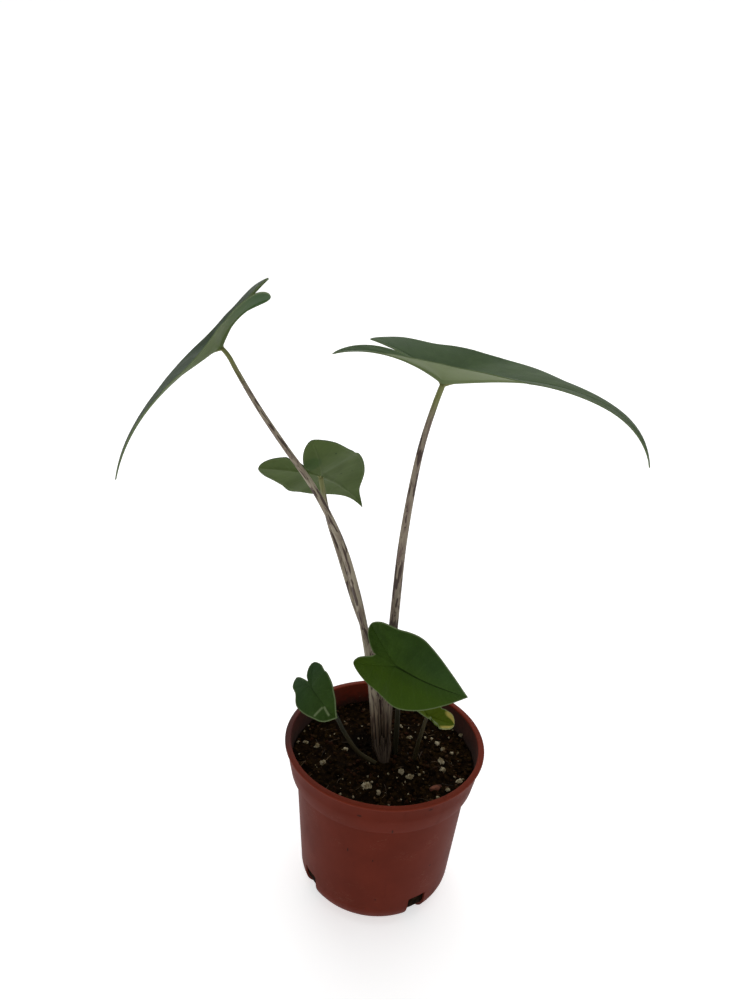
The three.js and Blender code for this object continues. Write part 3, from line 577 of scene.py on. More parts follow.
def blade_upper(colours):
    finish = blade_finish("blade_upper", 0.012)
    here = finish.place()
    side, rib = vein_lines(finish, 1.0)
    cloud = finish.speckle(here, 16.0, 3.0)
    mottle = finish.ramp(finish.speckle(here, 7.0, 4.0, 0.6, 0.0, 6.0), 0.35, 0.65)
    # Painted light on the upper face: deep is a darker copy of the leaf's colour for painted shade,
    # laid in patches over darker halves and as a dark line in the midrib's groove. The bluish green
    # is in part painted sheen, the greyish haze is painted sheen, and the yellower warm half is
    # painted light.
    deep = opaque(colours.leaf_dark, 0.3)
    green = finish.layered(
        opaque(colours.leaf_dark),
        (finish.ramp(cloud, 0.3, 0.7), opaque(colours.leaf_green)),
        (finish.own("blue"), opaque(colours.leaf_blue)),
        (finish.own("warm"), opaque(colours.leaf_warm)),
        (finish.own("young"), opaque(colours.leaf_young)),
        (side * 0.05, opaque(colours.vein)),
        (finish.own("painted_sheen"), opaque(colours.leaf_sheen)),
        (finish.own("deep") * (0.6 + 0.8 * mottle), deep),
        (rib * finish.own("sunk"), deep),
        (finish.ramp(finish.own("yellow"), 0.15, 0.5), opaque(colours.leaf_yellow)),
        (finish.own("stroke") * 0.75, opaque(colours.margin)),
        margin_layer(finish, colours))
    net = finish.node("TexVoronoi", {"Vector": here, "Scale": 0.55}, output="Distance",
                      feature="DISTANCE_TO_EDGE")
    cells = finish.ramp(net, 0.0, 0.12)
    quilt = finish.ramp(finish.math("PINGPONG", finish.own("vein_phase"), 0.5), 0.0, 0.5)
    height = 0.25 * quilt * (1 - rib) + 0.12 * (1 - side) + 0.06 * cells + 0.1 * cloud
    return finish.done(green, 0.4 + 0.12 * cloud + 0.05 * side, height, 0.5)


def blade_under(colours):
    finish = blade_finish("blade_under", 0.04)
    here = finish.place()
    side, rib = vein_lines(finish, 1.3)
    rim_vein = finish.ramp(abs(finish.own("share_out") - 0.93), 0.025, 0.006)
    cloud = finish.speckle(here, 14.0, 3.0)
    freckle = finish.ramp(finish.speckle(here, 2.2, 1.0, 0.5, 0.0, 4.0), 0.76, 0.79)
    # Painted light below: the pale tone is in part painted sheen, and the darker, greener shaded
    # colour is painted shade on the left lobe and by the back leaf's notch
    pale, shaded_green = opaque(colours.under_vein), opaque(colours.under_shaded)
    green = finish.layered(
        opaque(colours.under_green),
        (finish.ramp(cloud, 0.3, 0.7), opaque(colours.under_green, 0.82)),
        (finish.own("young") * 0.8, opaque(colours.leaf_young)),
        (finish.own("pale"), pale),
        (finish.own("shaded_green"), shaded_green),
        (side * 0.04, pale),
        (rim_vein * 0.2, pale),
        (rib * 0.12, pale),
        (finish.near(here, NOTCH_SHADE, (cloud - 0.5) * 0.5) * 0.45, shaded_green),
        (finish.near(here, LEAF_SPECKS, cloud - 0.5) * 0.7, paint("leaf_speck")),
        (freckle * 0.5, paint("leaf_freckle")),
        margin_layer(finish, colours))
    height = 0.08 * side + 0.12 * rim_vein + 0.1 * cloud
    return finish.done(green, 0.55 + 0.12 * cloud, height, 0.5)


def stalk_skin(colours):
    """Cream stalks with dark slanting marks, brown and ribbed at the foot with painted shade in its
    grooves, olive under the blade
    """
    finish = Finish("stalk_skin", specular_ior_level=0.25)
    spot = finish.node("UVMap", uv_map="UVMap")
    around = finish.part_of(spot, 0) * TURN
    along = finish.part_of(spot, 1)
    skin = finish.node("CombineXYZ", {
        0: finish.math("COSINE", around) * 2.6, 1: finish.math("SINE", around) * 2.6,
        2: along + 1.4 * finish.math("SINE", around + 0.09 * along)})
    bands = finish.speckle(finish.stretched(skin, 0.62, 0.62, 0.13), 1.5, 1.5, 0.5, 0.4)
    patches = finish.speckle(finish.stretched(skin, 0.5, 0.5, 0.14), 1.8, 2.0, 0.5, 0.3, 3.0)
    stripes = finish.speckle(finish.stretched(skin, 1.0, 1.0, 0.05), 0.7, 3.0, 0.6, 0.2)
    rings = finish.ramp(abs(bands - 0.44), 0.018, 0.004) * finish.ramp(patches, 0.42, 0.55)
    marks = finish.math("MAXIMUM", finish.ramp(bands, 0.53, 0.575), rings)
    share, dusk = finish.own("share_up"), finish.own("dusk")
    foot = finish.ramp(share, 0.22, 0.1)
    # Darker towards the soil, over the stalks' lowest part
    darker_low = finish.ramp(finish.part_of(finish.place(), 2), 110.0, 94.0)
    mauve = opaque(colours.stalk_mauve)
    fibrous = finish.mixed(finish.ramp(stripes, 0.4, 0.62), paint("foot_light"), paint("foot_dark"))
    ripe = finish.layered(
        opaque(colours.stalk_cream),
        (finish.ramp(stripes, 0.3, 0.75), opaque(colours.stalk_cream, 0.7)),
        (finish.ramp(patches, 0.42, 0.68) * (0.7 + 0.3 * dusk), mauve),
        (dusk * 0.55, mauve),
        (finish.ramp(bands, 0.48, 0.6) * 0.4, mauve),
        (marks * (0.85 - 0.6 * foot), opaque(colours.stalk_mark)),
        (foot * 0.7, fibrous),
        # Painted shade in the grooves between the ribs at the foot
        (finish.ramp(finish.own("ridge"), 0.55, 0.15) * foot * 0.9, paint("foot_groove")),
        (darker_low * 0.75, paint("stalk_foot_dark")),
        (finish.ramp(share, 0.9, 0.975) * 0.9, opaque(colours.stalk_olive)))
    # A young stalk, darkened by painted shade where it is dim
    young = finish.layered(
        opaque(colours.stalk_young),
        (finish.ramp(stripes, 0.4, 0.7), opaque(colours.stalk_young, 0.5)),
        (finish.own("dim"), paint("dim_stalk")))
    body = finish.mixed(finish.own("ripe"), young, ripe)
    return finish.done(body, 0.5 + 0.2 * stripes, stripes, 0.25)


def fibre_skin():
    finish = Finish("fibre_skin", specular_ior_level=0.3)
    shade = finish.own("shade")
    body = finish.mixed(shade, paint("fibre_dark"), paint("fibre_light"))
    return finish.done(body, 0.7 + 0.2 * shade)


def floor_paper(studio):
    finish = Finish("floor_paper", specular_ior_level=0.1, emission_strength=studio.glow,
                    emission_color=(1.0, 1.0, 1.0, 1.0))
    tooth = finish.speckle(finish.place(), 1.5, 2.0)
    body = finish.mixed(tooth * 0.04, opaque(studio.floor), (0.7, 0.7, 0.7, 1.0))
    return finish.done(body, 0.9 + 0.05 * tooth)


# ---------------------------------------------------------------- mesh tools

def deselect():
    if bpy.context.object and bpy.context.object.mode != "OBJECT":
        bpy.ops.object.mode_set(mode="OBJECT")
    bpy.ops.object.select_all(action="DESELECT")


def pick(*pieces):
    """These objects are selected and nothing else, with the first one active"""
    deselect()
    for piece in pieces:
        piece.select_set(True)
    bpy.context.view_layer.objects.active = pieces[0]
    return pieces[0]


def edit(piece, *steps):
    """Runs steps in edit mode on the whole mesh"""
    pick(piece)
    bpy.ops.object.mode_set(mode="EDIT")
    bpy.ops.mesh.select_all(action="SELECT")
    for step in steps:
        step()
    bpy.ops.object.mode_set(mode="OBJECT")


def named(piece, name):
    piece.name = name
    piece.data.name = name
    return piece


def corners(piece):
    spots = np.empty(len(piece.data.vertices) * 3)
    piece.data.vertices.foreach_get("co", spots)
    return spots.reshape(-1, 3)


def set_corners(piece, spots):
    piece.data.vertices.foreach_set("co", np.ascontiguousarray(spots, float).ravel())
    piece.data.update()


def normals(piece):
    ways = np.empty(len(piece.data.vertices) * 3)
    piece.data.vertex_normals.foreach_get("vector", ways)
    return ways.reshape(-1, 3)


def keep_values(piece, **values):
    """Keeps values for the piece's finish: one for each corner, or one for them all"""
    for name, value in values.items():
        attribute = piece.data.attributes.new(name, "FLOAT", "POINT")
        spread = np.broadcast_to(value, len(piece.data.vertices))
        attribute.data.foreach_set("value", np.ascontiguousarray(spread, np.float32))


def read_values(piece, name):
    values = np.empty(len(piece.data.vertices), np.float32)
    piece.data.attributes[name].data.foreach_get("value", values)
    return values


def grid(columns, rows):
    """A grid primitive, with the share across and the share along of each of its corners"""
    deselect()
    bpy.ops.mesh.primitive_grid_add(x_subdivisions=columns, y_subdivisions=rows, size=1)
    sheet = bpy.context.object
    spots = corners(sheet)
    return sheet, spots[:, 0] + 0.5, spots[:, 1] + 0.5


def joined(pieces, name):
    """The pieces as one mesh of that name"""
    whole = pick(*pieces)
    bpy.ops.object.join()
    return named(whole, name)


def merge(piece, gap=2e-6):
    edit(piece, lambda: bpy.ops.mesh.remove_doubles(threshold=gap))


def modify(piece, kind, **settings):
    pick(piece)
    modifier = piece.modifiers.new(kind.lower(), kind)
    for setting, value in settings.items():
        setattr(modifier, setting, value)
    bpy.ops.object.modifier_apply(modifier=modifier.name)


def smooth(piece, angle=None):
    pick(piece)
    if angle is None:
        bpy.ops.object.shade_smooth()
    else:
        bpy.ops.object.shade_smooth_by_angle(angle=math.radians(angle))


def finished(piece, slot, nodes, *materials):
    """The piece takes its materials, rides with the plant, and stands for its nodes"""
    piece.data.materials.clear()
    for material in materials:
        piece.data.materials.append(material)
    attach(piece, "root")
    if nodes:
        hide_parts(*nodes)
    return piece


# ---------------------------------------------------------------- curves

def along_stations(values, share):
    """A smooth curve through values at even stations"""
    values = np.asarray(values, float)
    last = len(values) - 1
    ends = np.concatenate([[2 * values[0] - values[1]], values, [2 * values[-1] - values[-2]]])
    place = np.clip(share, 0, 1) * last
    i = np.minimum(place.astype(int), last - 1)
    f = place - i
    a, b, c, d = ends[i], ends[i + 1], ends[i + 2], ends[i + 3]
    return 0.5 * (2 * b + (c - a) * f + (2 * a - 5 * b + 4 * c - d) * f ** 2
                  + (3 * b - a - 3 * c + d) * f ** 3)


def through_points(points, place):
    """Points of a smooth curve through uneven points, place counting from 0 along them"""
    points = np.asarray(points, float)
    ends = np.vstack([2 * points[0] - points[1], points, 2 * points[-1] - points[-2]])
    steps = np.linalg.norm(np.diff(ends, axis=0), axis=1) ** 0.5
    place = np.asarray(place, float)
    i = np.clip(place.astype(int), 0, len(points) - 2)
    f = (place - i)[:, None]
    a, b, c = steps[i][:, None], steps[i + 1][:, None], steps[i + 2][:, None]
    p0, p1, p2, p3 = ends[i], ends[i + 1], ends[i + 2], ends[i + 3]
    way_out = ((p1 - p0) / a - (p2 - p0) / (a + b) + (p2 - p1) / b) * b
    way_in = ((p2 - p1) / b - (p3 - p1) / (b + c) + (p3 - p2) / c) * b
    return ((2 * f ** 3 - 3 * f ** 2 + 1) * p1 + (f ** 3 - 2 * f ** 2 + f) * way_out
            + (3 * f ** 2 - 2 * f ** 3) * p2 + (f ** 3 - f ** 2) * way_in)


def even_route(points, step):
    """The same curve at even steps of length, and its length"""
    dense = through_points(points, np.linspace(0, len(points) - 1, 40 * len(points)))
    run = np.concatenate([[0], np.cumsum(np.linalg.norm(np.diff(dense, axis=0), axis=1))])
    count = max(int(run[-1] / step), 4)
    at = np.linspace(0, run[-1], count + 1)
    return np.column_stack([np.interp(at, run, dense[:, i]) for i in range(3)]), run[-1]


def ride_frames(centres):
    """Directions along a route, and two across it that turn as little as they can"""
    along = np.gradient(centres, axis=0)
    along /= np.linalg.norm(along, axis=1)[:, None]
    side = np.zeros_like(along)
    start = np.cross(along[0], (0, 0, 1) if abs(along[0][2]) < 0.9 else (0, 1, 0))
    side[0] = start / np.linalg.norm(start)
    for i in range(1, len(along)):
        flat = side[i - 1] - along[i] * np.dot(side[i - 1], along[i])
        side[i] = flat / np.linalg.norm(flat)
    return along, side, np.cross(along, side)


def tube(centres, radius_at, sides):
    """A tube along a route, closed at its ends. radius_at takes the angle and the share."""
    _, side, up = ride_frames(centres)
    rows = len(centres) - 1
    piece, around, share = grid(sides, rows)
    row = np.rint(share * rows).astype(int)
    angle = around * TURN
    radius = np.where((share <= 0) | (share >= 1), 0.0, radius_at(angle, share))[:, None]
    ring = np.cos(angle)[:, None] * side[row] + np.sin(angle)[:, None] * up[row]
    set_corners(piece, (centres[row] + radius * ring) * MM)
    piece.data.uv_layers.active.name = "UVMap"
    return piece, share, angle


# ---------------------------------------------------------------- leaf shape

class Spine:
    """A rib's places and directions at even steps"""

    def __init__(self, step, along, across, up):
        halves = 0.5 * (along[1:] + along[:-1]) * step
        self.at = np.vstack([[0, 0, 0], np.cumsum(halves, axis=0)])
        self.along, self.across, self.up = along, across, up

    def read(self, share):
        place = np.clip(share, 0, 1) * SPINE_STEPS
        i = np.minimum(place.astype(int), SPINE_STEPS - 1)
        f = (place - i)[:, None]
        return [line[i] * (1 - f) + line[i + 1] * f for line in (self.at, self.across, self.up)]


def rolled(across, up, angle):
    c, s = np.cos(angle)[:, None], np.sin(angle)[:, None]
    return c * across + s * up, c * up - s * across


def midrib(leaf):
    """The midrib's spine, with the joint as its start, in the leaf's own frame"""
    share = np.linspace(0, 1, SPINE_STEPS + 1)
    fall = np.radians(along_stations(leaf["droop"], share))
    turn = np.radians(leaf["sweep"]) * share ** 1.5
    along = np.column_stack([np.cos(fall) * np.cos(turn), np.cos(fall) * np.sin(turn),
                             -np.sin(fall)])
    level = np.column_stack([-np.sin(turn), np.cos(turn), 0 * turn])
    across, up = rolled(level, np.cross(along, level), np.radians(leaf["twist"]) * share)
    return Spine(leaf["length"] / SPINE_STEPS, along, across, up)


def lobe_rib(side, sign):
    """The spine of one lobe's rib; sign is 1 on the left and -1 on the right"""
    share = np.linspace(0, LOBE_REACH, SPINE_STEPS + 1)
    fall = np.radians(side["slope"][0] + (side["slope"][1] - side["slope"][0]) * share)
    spread = np.radians(side["spread"] + side["curl"] * share)
    along = np.column_stack([-np.cos(fall) * np.cos(spread), sign * np.cos(fall) * np.sin(spread),
                             -np.sin(fall)])
    level = np.column_stack([np.sin(spread), sign * np.cos(spread), 0 * spread])
    across, up = rolled(level, -sign * np.cross(along, level), np.radians(side["turn"]) * share)
    return Spine(side["lobe"] * LOBE_REACH / SPINE_STEPS, along, across, up)


def ribs(leaf):
    return midrib(leaf), lobe_rib(leaf["left"], 1), lobe_rib(leaf["right"], -1)


def curl_out(angle, distance, cup):
    """How far a sheet that leaves its rib at an angle, and keeps curling, reaches out and up.
    The weights are those of Boole's rule."""
    out = up = 0
    for i, weight in enumerate((7, 32, 12, 32, 7)):
        here = angle + cup * i / 4
        out = out + weight / 90 * np.cos(here) * distance
        up = up + weight / 90 * np.sin(here) * distance
    return out[:, None], up[:, None]


def bend(leaf, spines, sign, u, v):
    """Points of the flat blade, u along the midrib and v to the side, bent into their place"""
    side = leaf["left" if sign > 0 else "right"]
    main_rib, lobe = spines[0], spines[1 if sign > 0 else 2]
    cup = math.radians(side["cup"]) / leaf["half_width"]
    spread = math.radians(side["spread"])
    fold = side["fold"]
    along = -u * math.cos(spread) + v * math.sin(spread)
    off = u * math.sin(spread) + v * math.cos(spread)

    t = np.clip(u / leaf["length"], 0, 1)
    at, across, up = main_rib.read(t)
    lift = np.radians(np.interp(t, (0, FOLD_MIDDLE, 1), fold[1:]))
    out, high = curl_out(lift, v, cup * v)
    on_main = at + np.minimum(u, 0)[:, None] * main_rib.along[0] + sign * out * across + high * up

    s = np.clip(along / side["lobe"], 0, LOBE_REACH)
    at, across, up = lobe.read(s / LOBE_REACH)
    lift = np.where(off < 0, side["inner_fold"], np.interp(s, (0, 1), (fold[1], fold[0])))
    far = np.abs(off)
    out, high = curl_out(np.radians(lift), far, cup * far)
    out = np.where(off[:, None] < 0, -out, out)
    on_lobe = at + np.minimum(along, 0)[:, None] * lobe.along[0] + out * across + high * up

    turn = np.degrees(np.arctan2(v, u))
    share = np.clip((turn - FAN_START) / (FAN_END - side["spread"] - FAN_START), 0, 1)
    share = np.where((off < 0) & (u < 0), 1, share * share * (3 - 2 * share))[:, None]
    return on_main * (1 - share) + on_lobe * share


def half_outline(leaf, side):
    """The points that one half's margin runs through, from the tip round to the notch"""
    length, width, taper = leaf["length"], leaf["half_width"], leaf["taper"]
    spread = math.radians(side["spread"])

    def on_lobe(share, off):
        return (-math.cos(spread) * side["lobe"] * share + math.sin(spread) * off,
                math.sin(spread) * side["lobe"] * share + math.cos(spread) * off)
    return [
        (length, 0), (0.75 * length, taper[2] * width), (0.5 * length, taper[1] * width),
        (0.25 * length, taper[0] * width), (0, width),
        on_lobe(0.5, side["outer"]), on_lobe(0.86, side["outer"] * leaf["lobe_taper"]),
        on_lobe(1, 0), on_lobe(0.86, -0.7 * side["inner"]), on_lobe(0.5, -side["inner"]),
        (-leaf["sinus"], 0)]


def rib_feet(leaf, side, station):
    """Where cross lines leave the ribs, station from 0 at the tip through 4 to 7"""
    share = np.interp(station, range(OUTER_SPANS + 1), RIB_FEET)
    spread = math.radians(side["spread"])
    back = np.minimum(share, 0) * side["lobe"]
    return np.column_stack([np.maximum(share, 0) * leaf["length"] + math.cos(spread) * back,
                            -math.sin(spread) * back])


def pose(leaf):
    """The way a leaf lies: along its midrib, across to the left, and up out of its face"""
    heading, pitch = math.radians(leaf["heading"]), math.radians(leaf["pitch"])
    along = np.array([math.cos(heading) * math.cos(pitch), math.sin(heading) * math.cos(pitch),
                      math.sin(pitch)])
    level = np.array([-math.sin(heading), math.cos(heading), 0])
    across, up = rolled(level[None], np.cross(along, level)[None],
                        np.radians([leaf["bank"]]))
    return np.array([along, across[0], up[0]])


def pale_strokes(strokes, u, v):
    """Pale strokes between pairs of points of the flat blade, from 0 to 1"""
    shade = np.zeros(len(u))
    for (u0, v0), (u1, v1) in strokes:
        du, dv = u1 - u0, v1 - v0
        share = np.clip(((u - u0) * du + (v - v0) * dv) / (du * du + dv * dv), 0, 1)
        apart = np.hypot(u - u0 - share * du, v - v0 - share * dv)
        shade = np.maximum(shade, np.clip(1.5 - 1.7 * apart, 0, 1))
    return shade


def blade_values(leaf, looks, sign, inner, station, out, wide, u, v):
    """What the blades' finishes read at the corners of a patch"""
    def between(first, last, key):
        return np.interp(station, (first, last), looks[key])

    def grows(value, start, span):
        return np.clip((value - start) / span, 0, 1)
    forward = np.clip((JOINT_STATION - station) / 1.2, -1, 0.73)
    size = leaf["length"] / LEAVES["leaf_right"]["length"]
    on_midrib = 0 if inner else np.interp(station, (0, 0.8, 3.6, 4, 4.3), (0, 1, 1, 0.7, 0))
    to_left = 0.5 + 0.5 * sign * np.clip(v / looks["blend"], 0, 1)
    deep_left, deep_right = (between(0, OUTER_SPANS, key) for key in ("deep_left", "deep_right"))
    return dict(
        vein_phase=(station + 0.75 * forward * out ** 1.4) / VEIN_SPACING + 0.5,
        vein_span=VEIN_SPACING * 0.27 * leaf["length"],
        share_out=out,
        reach=out * wide,
        to_edge=(1 - out) * wide,
        rib_width=np.interp(station, RIB_STATIONS, RIB_WIDTHS) * (0.45 + 0.75 * size),
        rim=looks["rim"],
        young=looks["young"],
        sunk=looks["sunk"] * on_midrib,
        deep=to_left * deep_left + (1 - to_left) * deep_right,
        shaded_green=looks["shaded_green"] * (sign > 0) * grows(station, 4.6, 1.4),
        stroke=pale_strokes(looks["strokes"], u, v * sign),
        blue=between(0, OUTER_SPANS, "blue"),
        warm=looks["warm"] * (1 - to_left),
        pale=between(2, 5, "pale"),
        painted_sheen=between(1.5, 3, "painted_sheen"),
        yellow=grows(station, 4.9, 1.1) * grows(out, 0.35, 0.45) * (looks["yellow_lobe"] == sign))


def half_blade(leaf, looks, spines, sign, inner):
    """One patch between the ribs and the margin"""
    side = leaf["left" if sign > 0 else "right"]
    sheet, across, share = grid(*(INNER_GRID if inner else OUTER_GRID))
    out = across ** RIB_CROWDING
    if inner:
        station = JOINT_STATION + INNER_SPANS * share
        place = 2 * OUTER_SPANS - station
    else:
        station = place = OUTER_SPANS * share
    foot = rib_feet(leaf, side, station)
    edge = through_points(half_outline(leaf, side), place)
    flat = foot + (edge - foot) * out[:, None]
    u, v = flat[:, 0], np.maximum(flat[:, 1], 0)
    spots = bend(leaf, spines, sign, u, v)
    shared = v < 1e-6
    if shared.any():
        other = bend(leaf, spines, -sign, u[shared], v[shared])
        spots[shared] = 0.5 * (spots[shared] + other)
    ripple = np.sin(station / OUTER_SPANS * MARGIN_WAVES * TURN + sign)
    fade = np.sin(np.minimum(station, OUTER_SPANS) / OUTER_SPANS * math.pi)
    wave_out = 0.5 * out if inner else out
    spots[:, 2] += np.where(shared, 0, leaf["wave"] * wave_out ** 2 * ripple * fade)
    set_corners(sheet, (np.array(leaf["at"]) + spots @ pose(leaf)) * MM)
    wide = np.linalg.norm(edge - foot, axis=1)
    keep_values(sheet, **blade_values(leaf, looks, sign, inner, station, out, wide, u, v))
    if (sign < 0) != inner:
        edit(sheet, bpy.ops.mesh.flip_normals)
    return sheet


def make_blade(name, leaf, looks, sizes):
    """Four patches joined into one sheet, given its thickness, and a rib raised under it.
    is_lower marks the faces of its underside."""
    spines = ribs(leaf)
    sheet = joined([half_blade(leaf, looks, spines, sign, inner)
                    for sign in (1, -1) for inner in (False, True)], name)
    merge(sheet)
    ways, faces = normals(sheet), len(sheet.data.polygons)
    modify(sheet, "SOLIDIFY", thickness=sizes.blade_thickness, offset=0.0, use_rim=True)
    lower = np.zeros(len(sheet.data.polygons), np.int32)
    lower[faces:2 * faces] = 1
    sheet.data.attributes.new("is_lower", "INT", "FACE").data.foreach_set("value", lower)
    spots, count = corners(sheet), len(ways)
    reach, width = read_values(sheet, "reach"), read_values(sheet, "rib_width")
    high = sizes.rib_depth / MM
    ridge = np.sqrt(np.clip(1 - (reach / (RIDGE_WIDTH * width)) ** 2, 0, 1))
    groove = GROOVE_DEPTH * np.clip(1 - reach / (GROOVE_WIDTH * width), 0, 1)
    for first, form in ((0, groove), (count, ridge)):
        layer = slice(first, first + count)
        depth = high * form[layer] * width[layer] / max(RIB_WIDTHS)
        spots[layer] -= ways * (depth * MM)[:, None]
    set_corners(sheet, spots)
    smooth(sheet, 55)
    return sheet


# ---------------------------------------------------------------- stalks

def keep_stalk_values(piece, share_up, ridge, ripe=1.0, dusk=0.0, dim=0.0):
    keep_values(piece, share_up=share_up, ridge=ridge, ripe=ripe, dusk=dusk, dim=dim)


def make_knee(leaf, way):
    """Three short strands from the end of the stalk into the midrib and the ribs of the lobes"""
    leaf_frame, at = pose(leaf), np.array(leaf["at"])
    up = leaf_frame[2]
    thick = leaf["stalk_radius"][-1]
    strands = []
    for spine, size in zip(ribs(leaf), (1.0, 0.8, 0.8)):
        near, far = at + spine.read(np.array((0.05, 0.12)))[0] @ leaf_frame
        points = [at - 3.5 * thick * way, at - 1.6 * thick * way - 0.4 * up,
                  near - 0.8 * up, far - 0.5 * up]
        strand, *_ = tube(even_route(points, 0.5)[0],
                          lambda a, s, t=thick * size: t * (0.75 - 0.6 * s), 14)
        keep_stalk_values(strand, 1.0, 1.0)
        merge(strand)
        strands.append(strand)
    return strands


def make_foot():
    """Brown fibrous sheaths that run from the foot of the stalks down into the soil"""
    strands = []
    for i, x in enumerate(SHEATHS):
        high = 101 + 4 * math.sin(2.3 * i)
        points = [(x, 1.8, high), (0.85 * x + 0.2, -1.6, 97), (0.62 * x + 0.7, -6.0, 93.4),
                  (0.45 * x + 1.1, -10.5 + 0.3 * abs(x), 90.2)]

        def radius_at(angle, share, i=i):
            swell = 0.35 + 0.75 * np.sin(math.pi * np.clip(share, 0, 1) ** 0.8)
            return swell * (1 + 0.18 * np.sin(3 * angle + 9 * share + i))
        strand, _, angle = tube(even_route(points, 0.6)[0], radius_at, 12)
        keep_stalk_values(strand, 0.05, 0.5 + 0.5 * np.sin(3 * angle + i))
        merge(strand)
        strands.append(strand)
    foot = joined(strands, "stalk_foot_sheaths")
    smooth(foot)
    return foot


def make_stalk(name, leaf, looks, order):
    """A round stalk from inside the soil up to the blade, fluted at its foot"""
    foot, at, up = np.array(leaf["stalk"][0], float), np.array(leaf["at"]), pose(leaf)[2]
    way = np.array(leaf["stalk"][1]) - foot
    way /= np.linalg.norm(way)
    points = [foot - STEM_DEPTH * way, *leaf["stalk"], at - 0.6 * up]
    centres, length = even_route(points, 1.0)
    ripe = leaf["length"] > RIPE_LENGTH

    def ridges(angle, share):
        """Lengthwise ribs of the sheath near the foot, from 0 in a groove to 1 on a crest"""
        drift = 0.012 * share * length
        broad = np.sin(6 * angle + drift + 2 * order)
        narrow = np.sin(11 * angle - drift + order)
        return 0.5 + 0.5 * (0.6 * broad + 0.4 * narrow)

    def radius_at(angle, share):
        """The stalk's own radius, fluted and flared at the foot and rounded off at the end"""
        run = share * length - STEM_DEPTH
        fade = np.clip((FLUTES_END - run) / FLUTES_FADE, 0, 1)
        flutes = (0.3 if ripe else 0.1) * fade * (ridges(angle, share) - 0.6)
        radius = along_stations(leaf["stalk_radius"], share)
        radius = radius * (1 + flutes + 0.03 * np.sin(5 * angle + order))
        radius = radius * (1 + 0.12 * fade * np.clip(1 - run / FLARE_END, 0, 1))
        left = np.clip((1 - share) * length / (1.2 * leaf["stalk_radius"][-1]), 0, 1)
        return radius * np.sqrt(1 - (1 - left) ** 2)
    stalk, share, angle = tube(centres, radius_at, STALK_SIDES)
    layer = stalk.data.uv_layers.active
    spread = np.empty(len(layer.data) * 2)
    layer.data.foreach_get("uv", spread)
    spread[1::2] = spread[1::2] * length + PATTERN_SHIFT * order
    layer.data.foreach_set("uv", spread)
    keep_stalk_values(stalk, share, ridges(angle, share), ripe, looks["dusk"],
                      np.interp(share, (0.42, 0.55), looks["dim"]))
    merge(stalk)
    if ripe:
        end = centres[-1] - centres[-3]
        stalk = joined([stalk, *make_knee(leaf, end / np.linalg.norm(end))], name)
    smooth(stalk)
    return named(stalk, name)


# ---------------------------------------------------------------- pot and soil

def corner_arc(radius, bottom, steps):
    """Radius and height round the base corner, from the flat bottom up to the wall"""
    middle = BASE_RADIUS - CORNER_RADIUS
    angles = np.linspace(0, math.pi / 2, steps + 1)
    return [(middle + radius * math.sin(a), bottom + radius * (1 - math.cos(a))) for a in angles]


def pot_profile():
    """Radius and height up the outside, over the lip, and down the inside to the middle. The
    small offsets from the named sizes round the edges."""
    outside = [
        *corner_arc(CORNER_RADIUS, 0, 12),
        (BODY_TOP_RADIUS - 0.05, COLLAR_FOOT - 1.6), (BODY_TOP_RADIUS + 0.3, COLLAR_FOOT - 1.15),
        (COLLAR_FOOT_RADIUS - 0.6, COLLAR_FOOT - 0.35),
        (COLLAR_FOOT_RADIUS - 0.15, COLLAR_FOOT - 0.1),
        (COLLAR_FOOT_RADIUS + 0.05, COLLAR_FOOT + 0.5),
        (COLLAR_BEND_RADIUS - 0.1, COLLAR_BEND - 0.6),
        (COLLAR_BEND_RADIUS + 0.02, COLLAR_BEND + 0.8),
        (COLLAR_TOP_RADIUS, LIP_FOOT - 0.4), (COLLAR_TOP_RADIUS + 0.2, LIP_FOOT + 0.1),
        (RIM_RADIUS - 0.3, LIP_FOOT + 0.7), (RIM_RADIUS, LIP_FOOT + 1.2),
        (RIM_RADIUS, POT_HEIGHT - 0.7), (RIM_RADIUS - 0.2, POT_HEIGHT - 0.2),
        (RIM_RADIUS - 0.7, POT_HEIGHT)]
    inside = [
        (COLLAR_TOP_RADIUS - 0.5, POT_HEIGHT - 0.05),
        (COLLAR_TOP_RADIUS - WALL + 0.15, POT_HEIGHT - 0.5),
        (COLLAR_TOP_RADIUS - WALL, POT_HEIGHT - 1.1),
        (COLLAR_TOP_RADIUS - WALL, LIP_FOOT), (COLLAR_BEND_RADIUS - WALL, COLLAR_BEND),
        (COLLAR_FOOT_RADIUS - WALL, COLLAR_FOOT + WALL),
        (BODY_TOP_RADIUS - WALL, COLLAR_FOOT + WALL - 1),
        *reversed(corner_arc(CORNER_RADIUS - WALL, FLOOR, 10))]
    return outside, inside


def notch_cutter(angle):
    """A rounded block that cuts one drainage notch at that angle"""
    deselect()
    bpy.ops.mesh.primitive_cube_add(size=1)
    cutter = bpy.context.object
    cutter.data.transform(Matrix.Diagonal((SLOT_REACH * MM, SLOT_WIDTH * MM,
                                           (SLOT_HEIGHT + SLOT_BELOW) * MM, 1)))
    edit(cutter, lambda: bpy.ops.mesh.bevel(offset=SLOT_ROUNDING * MM, segments=3, affect="EDGES"))
    cutter.data.transform(Matrix.Translation((BASE_RADIUS * MM, 0,
                                              (SLOT_HEIGHT - SLOT_BELOW) / 2 * MM)))
    cutter.data.transform(Matrix.Rotation(angle, 4, "Z"))
    return cutter


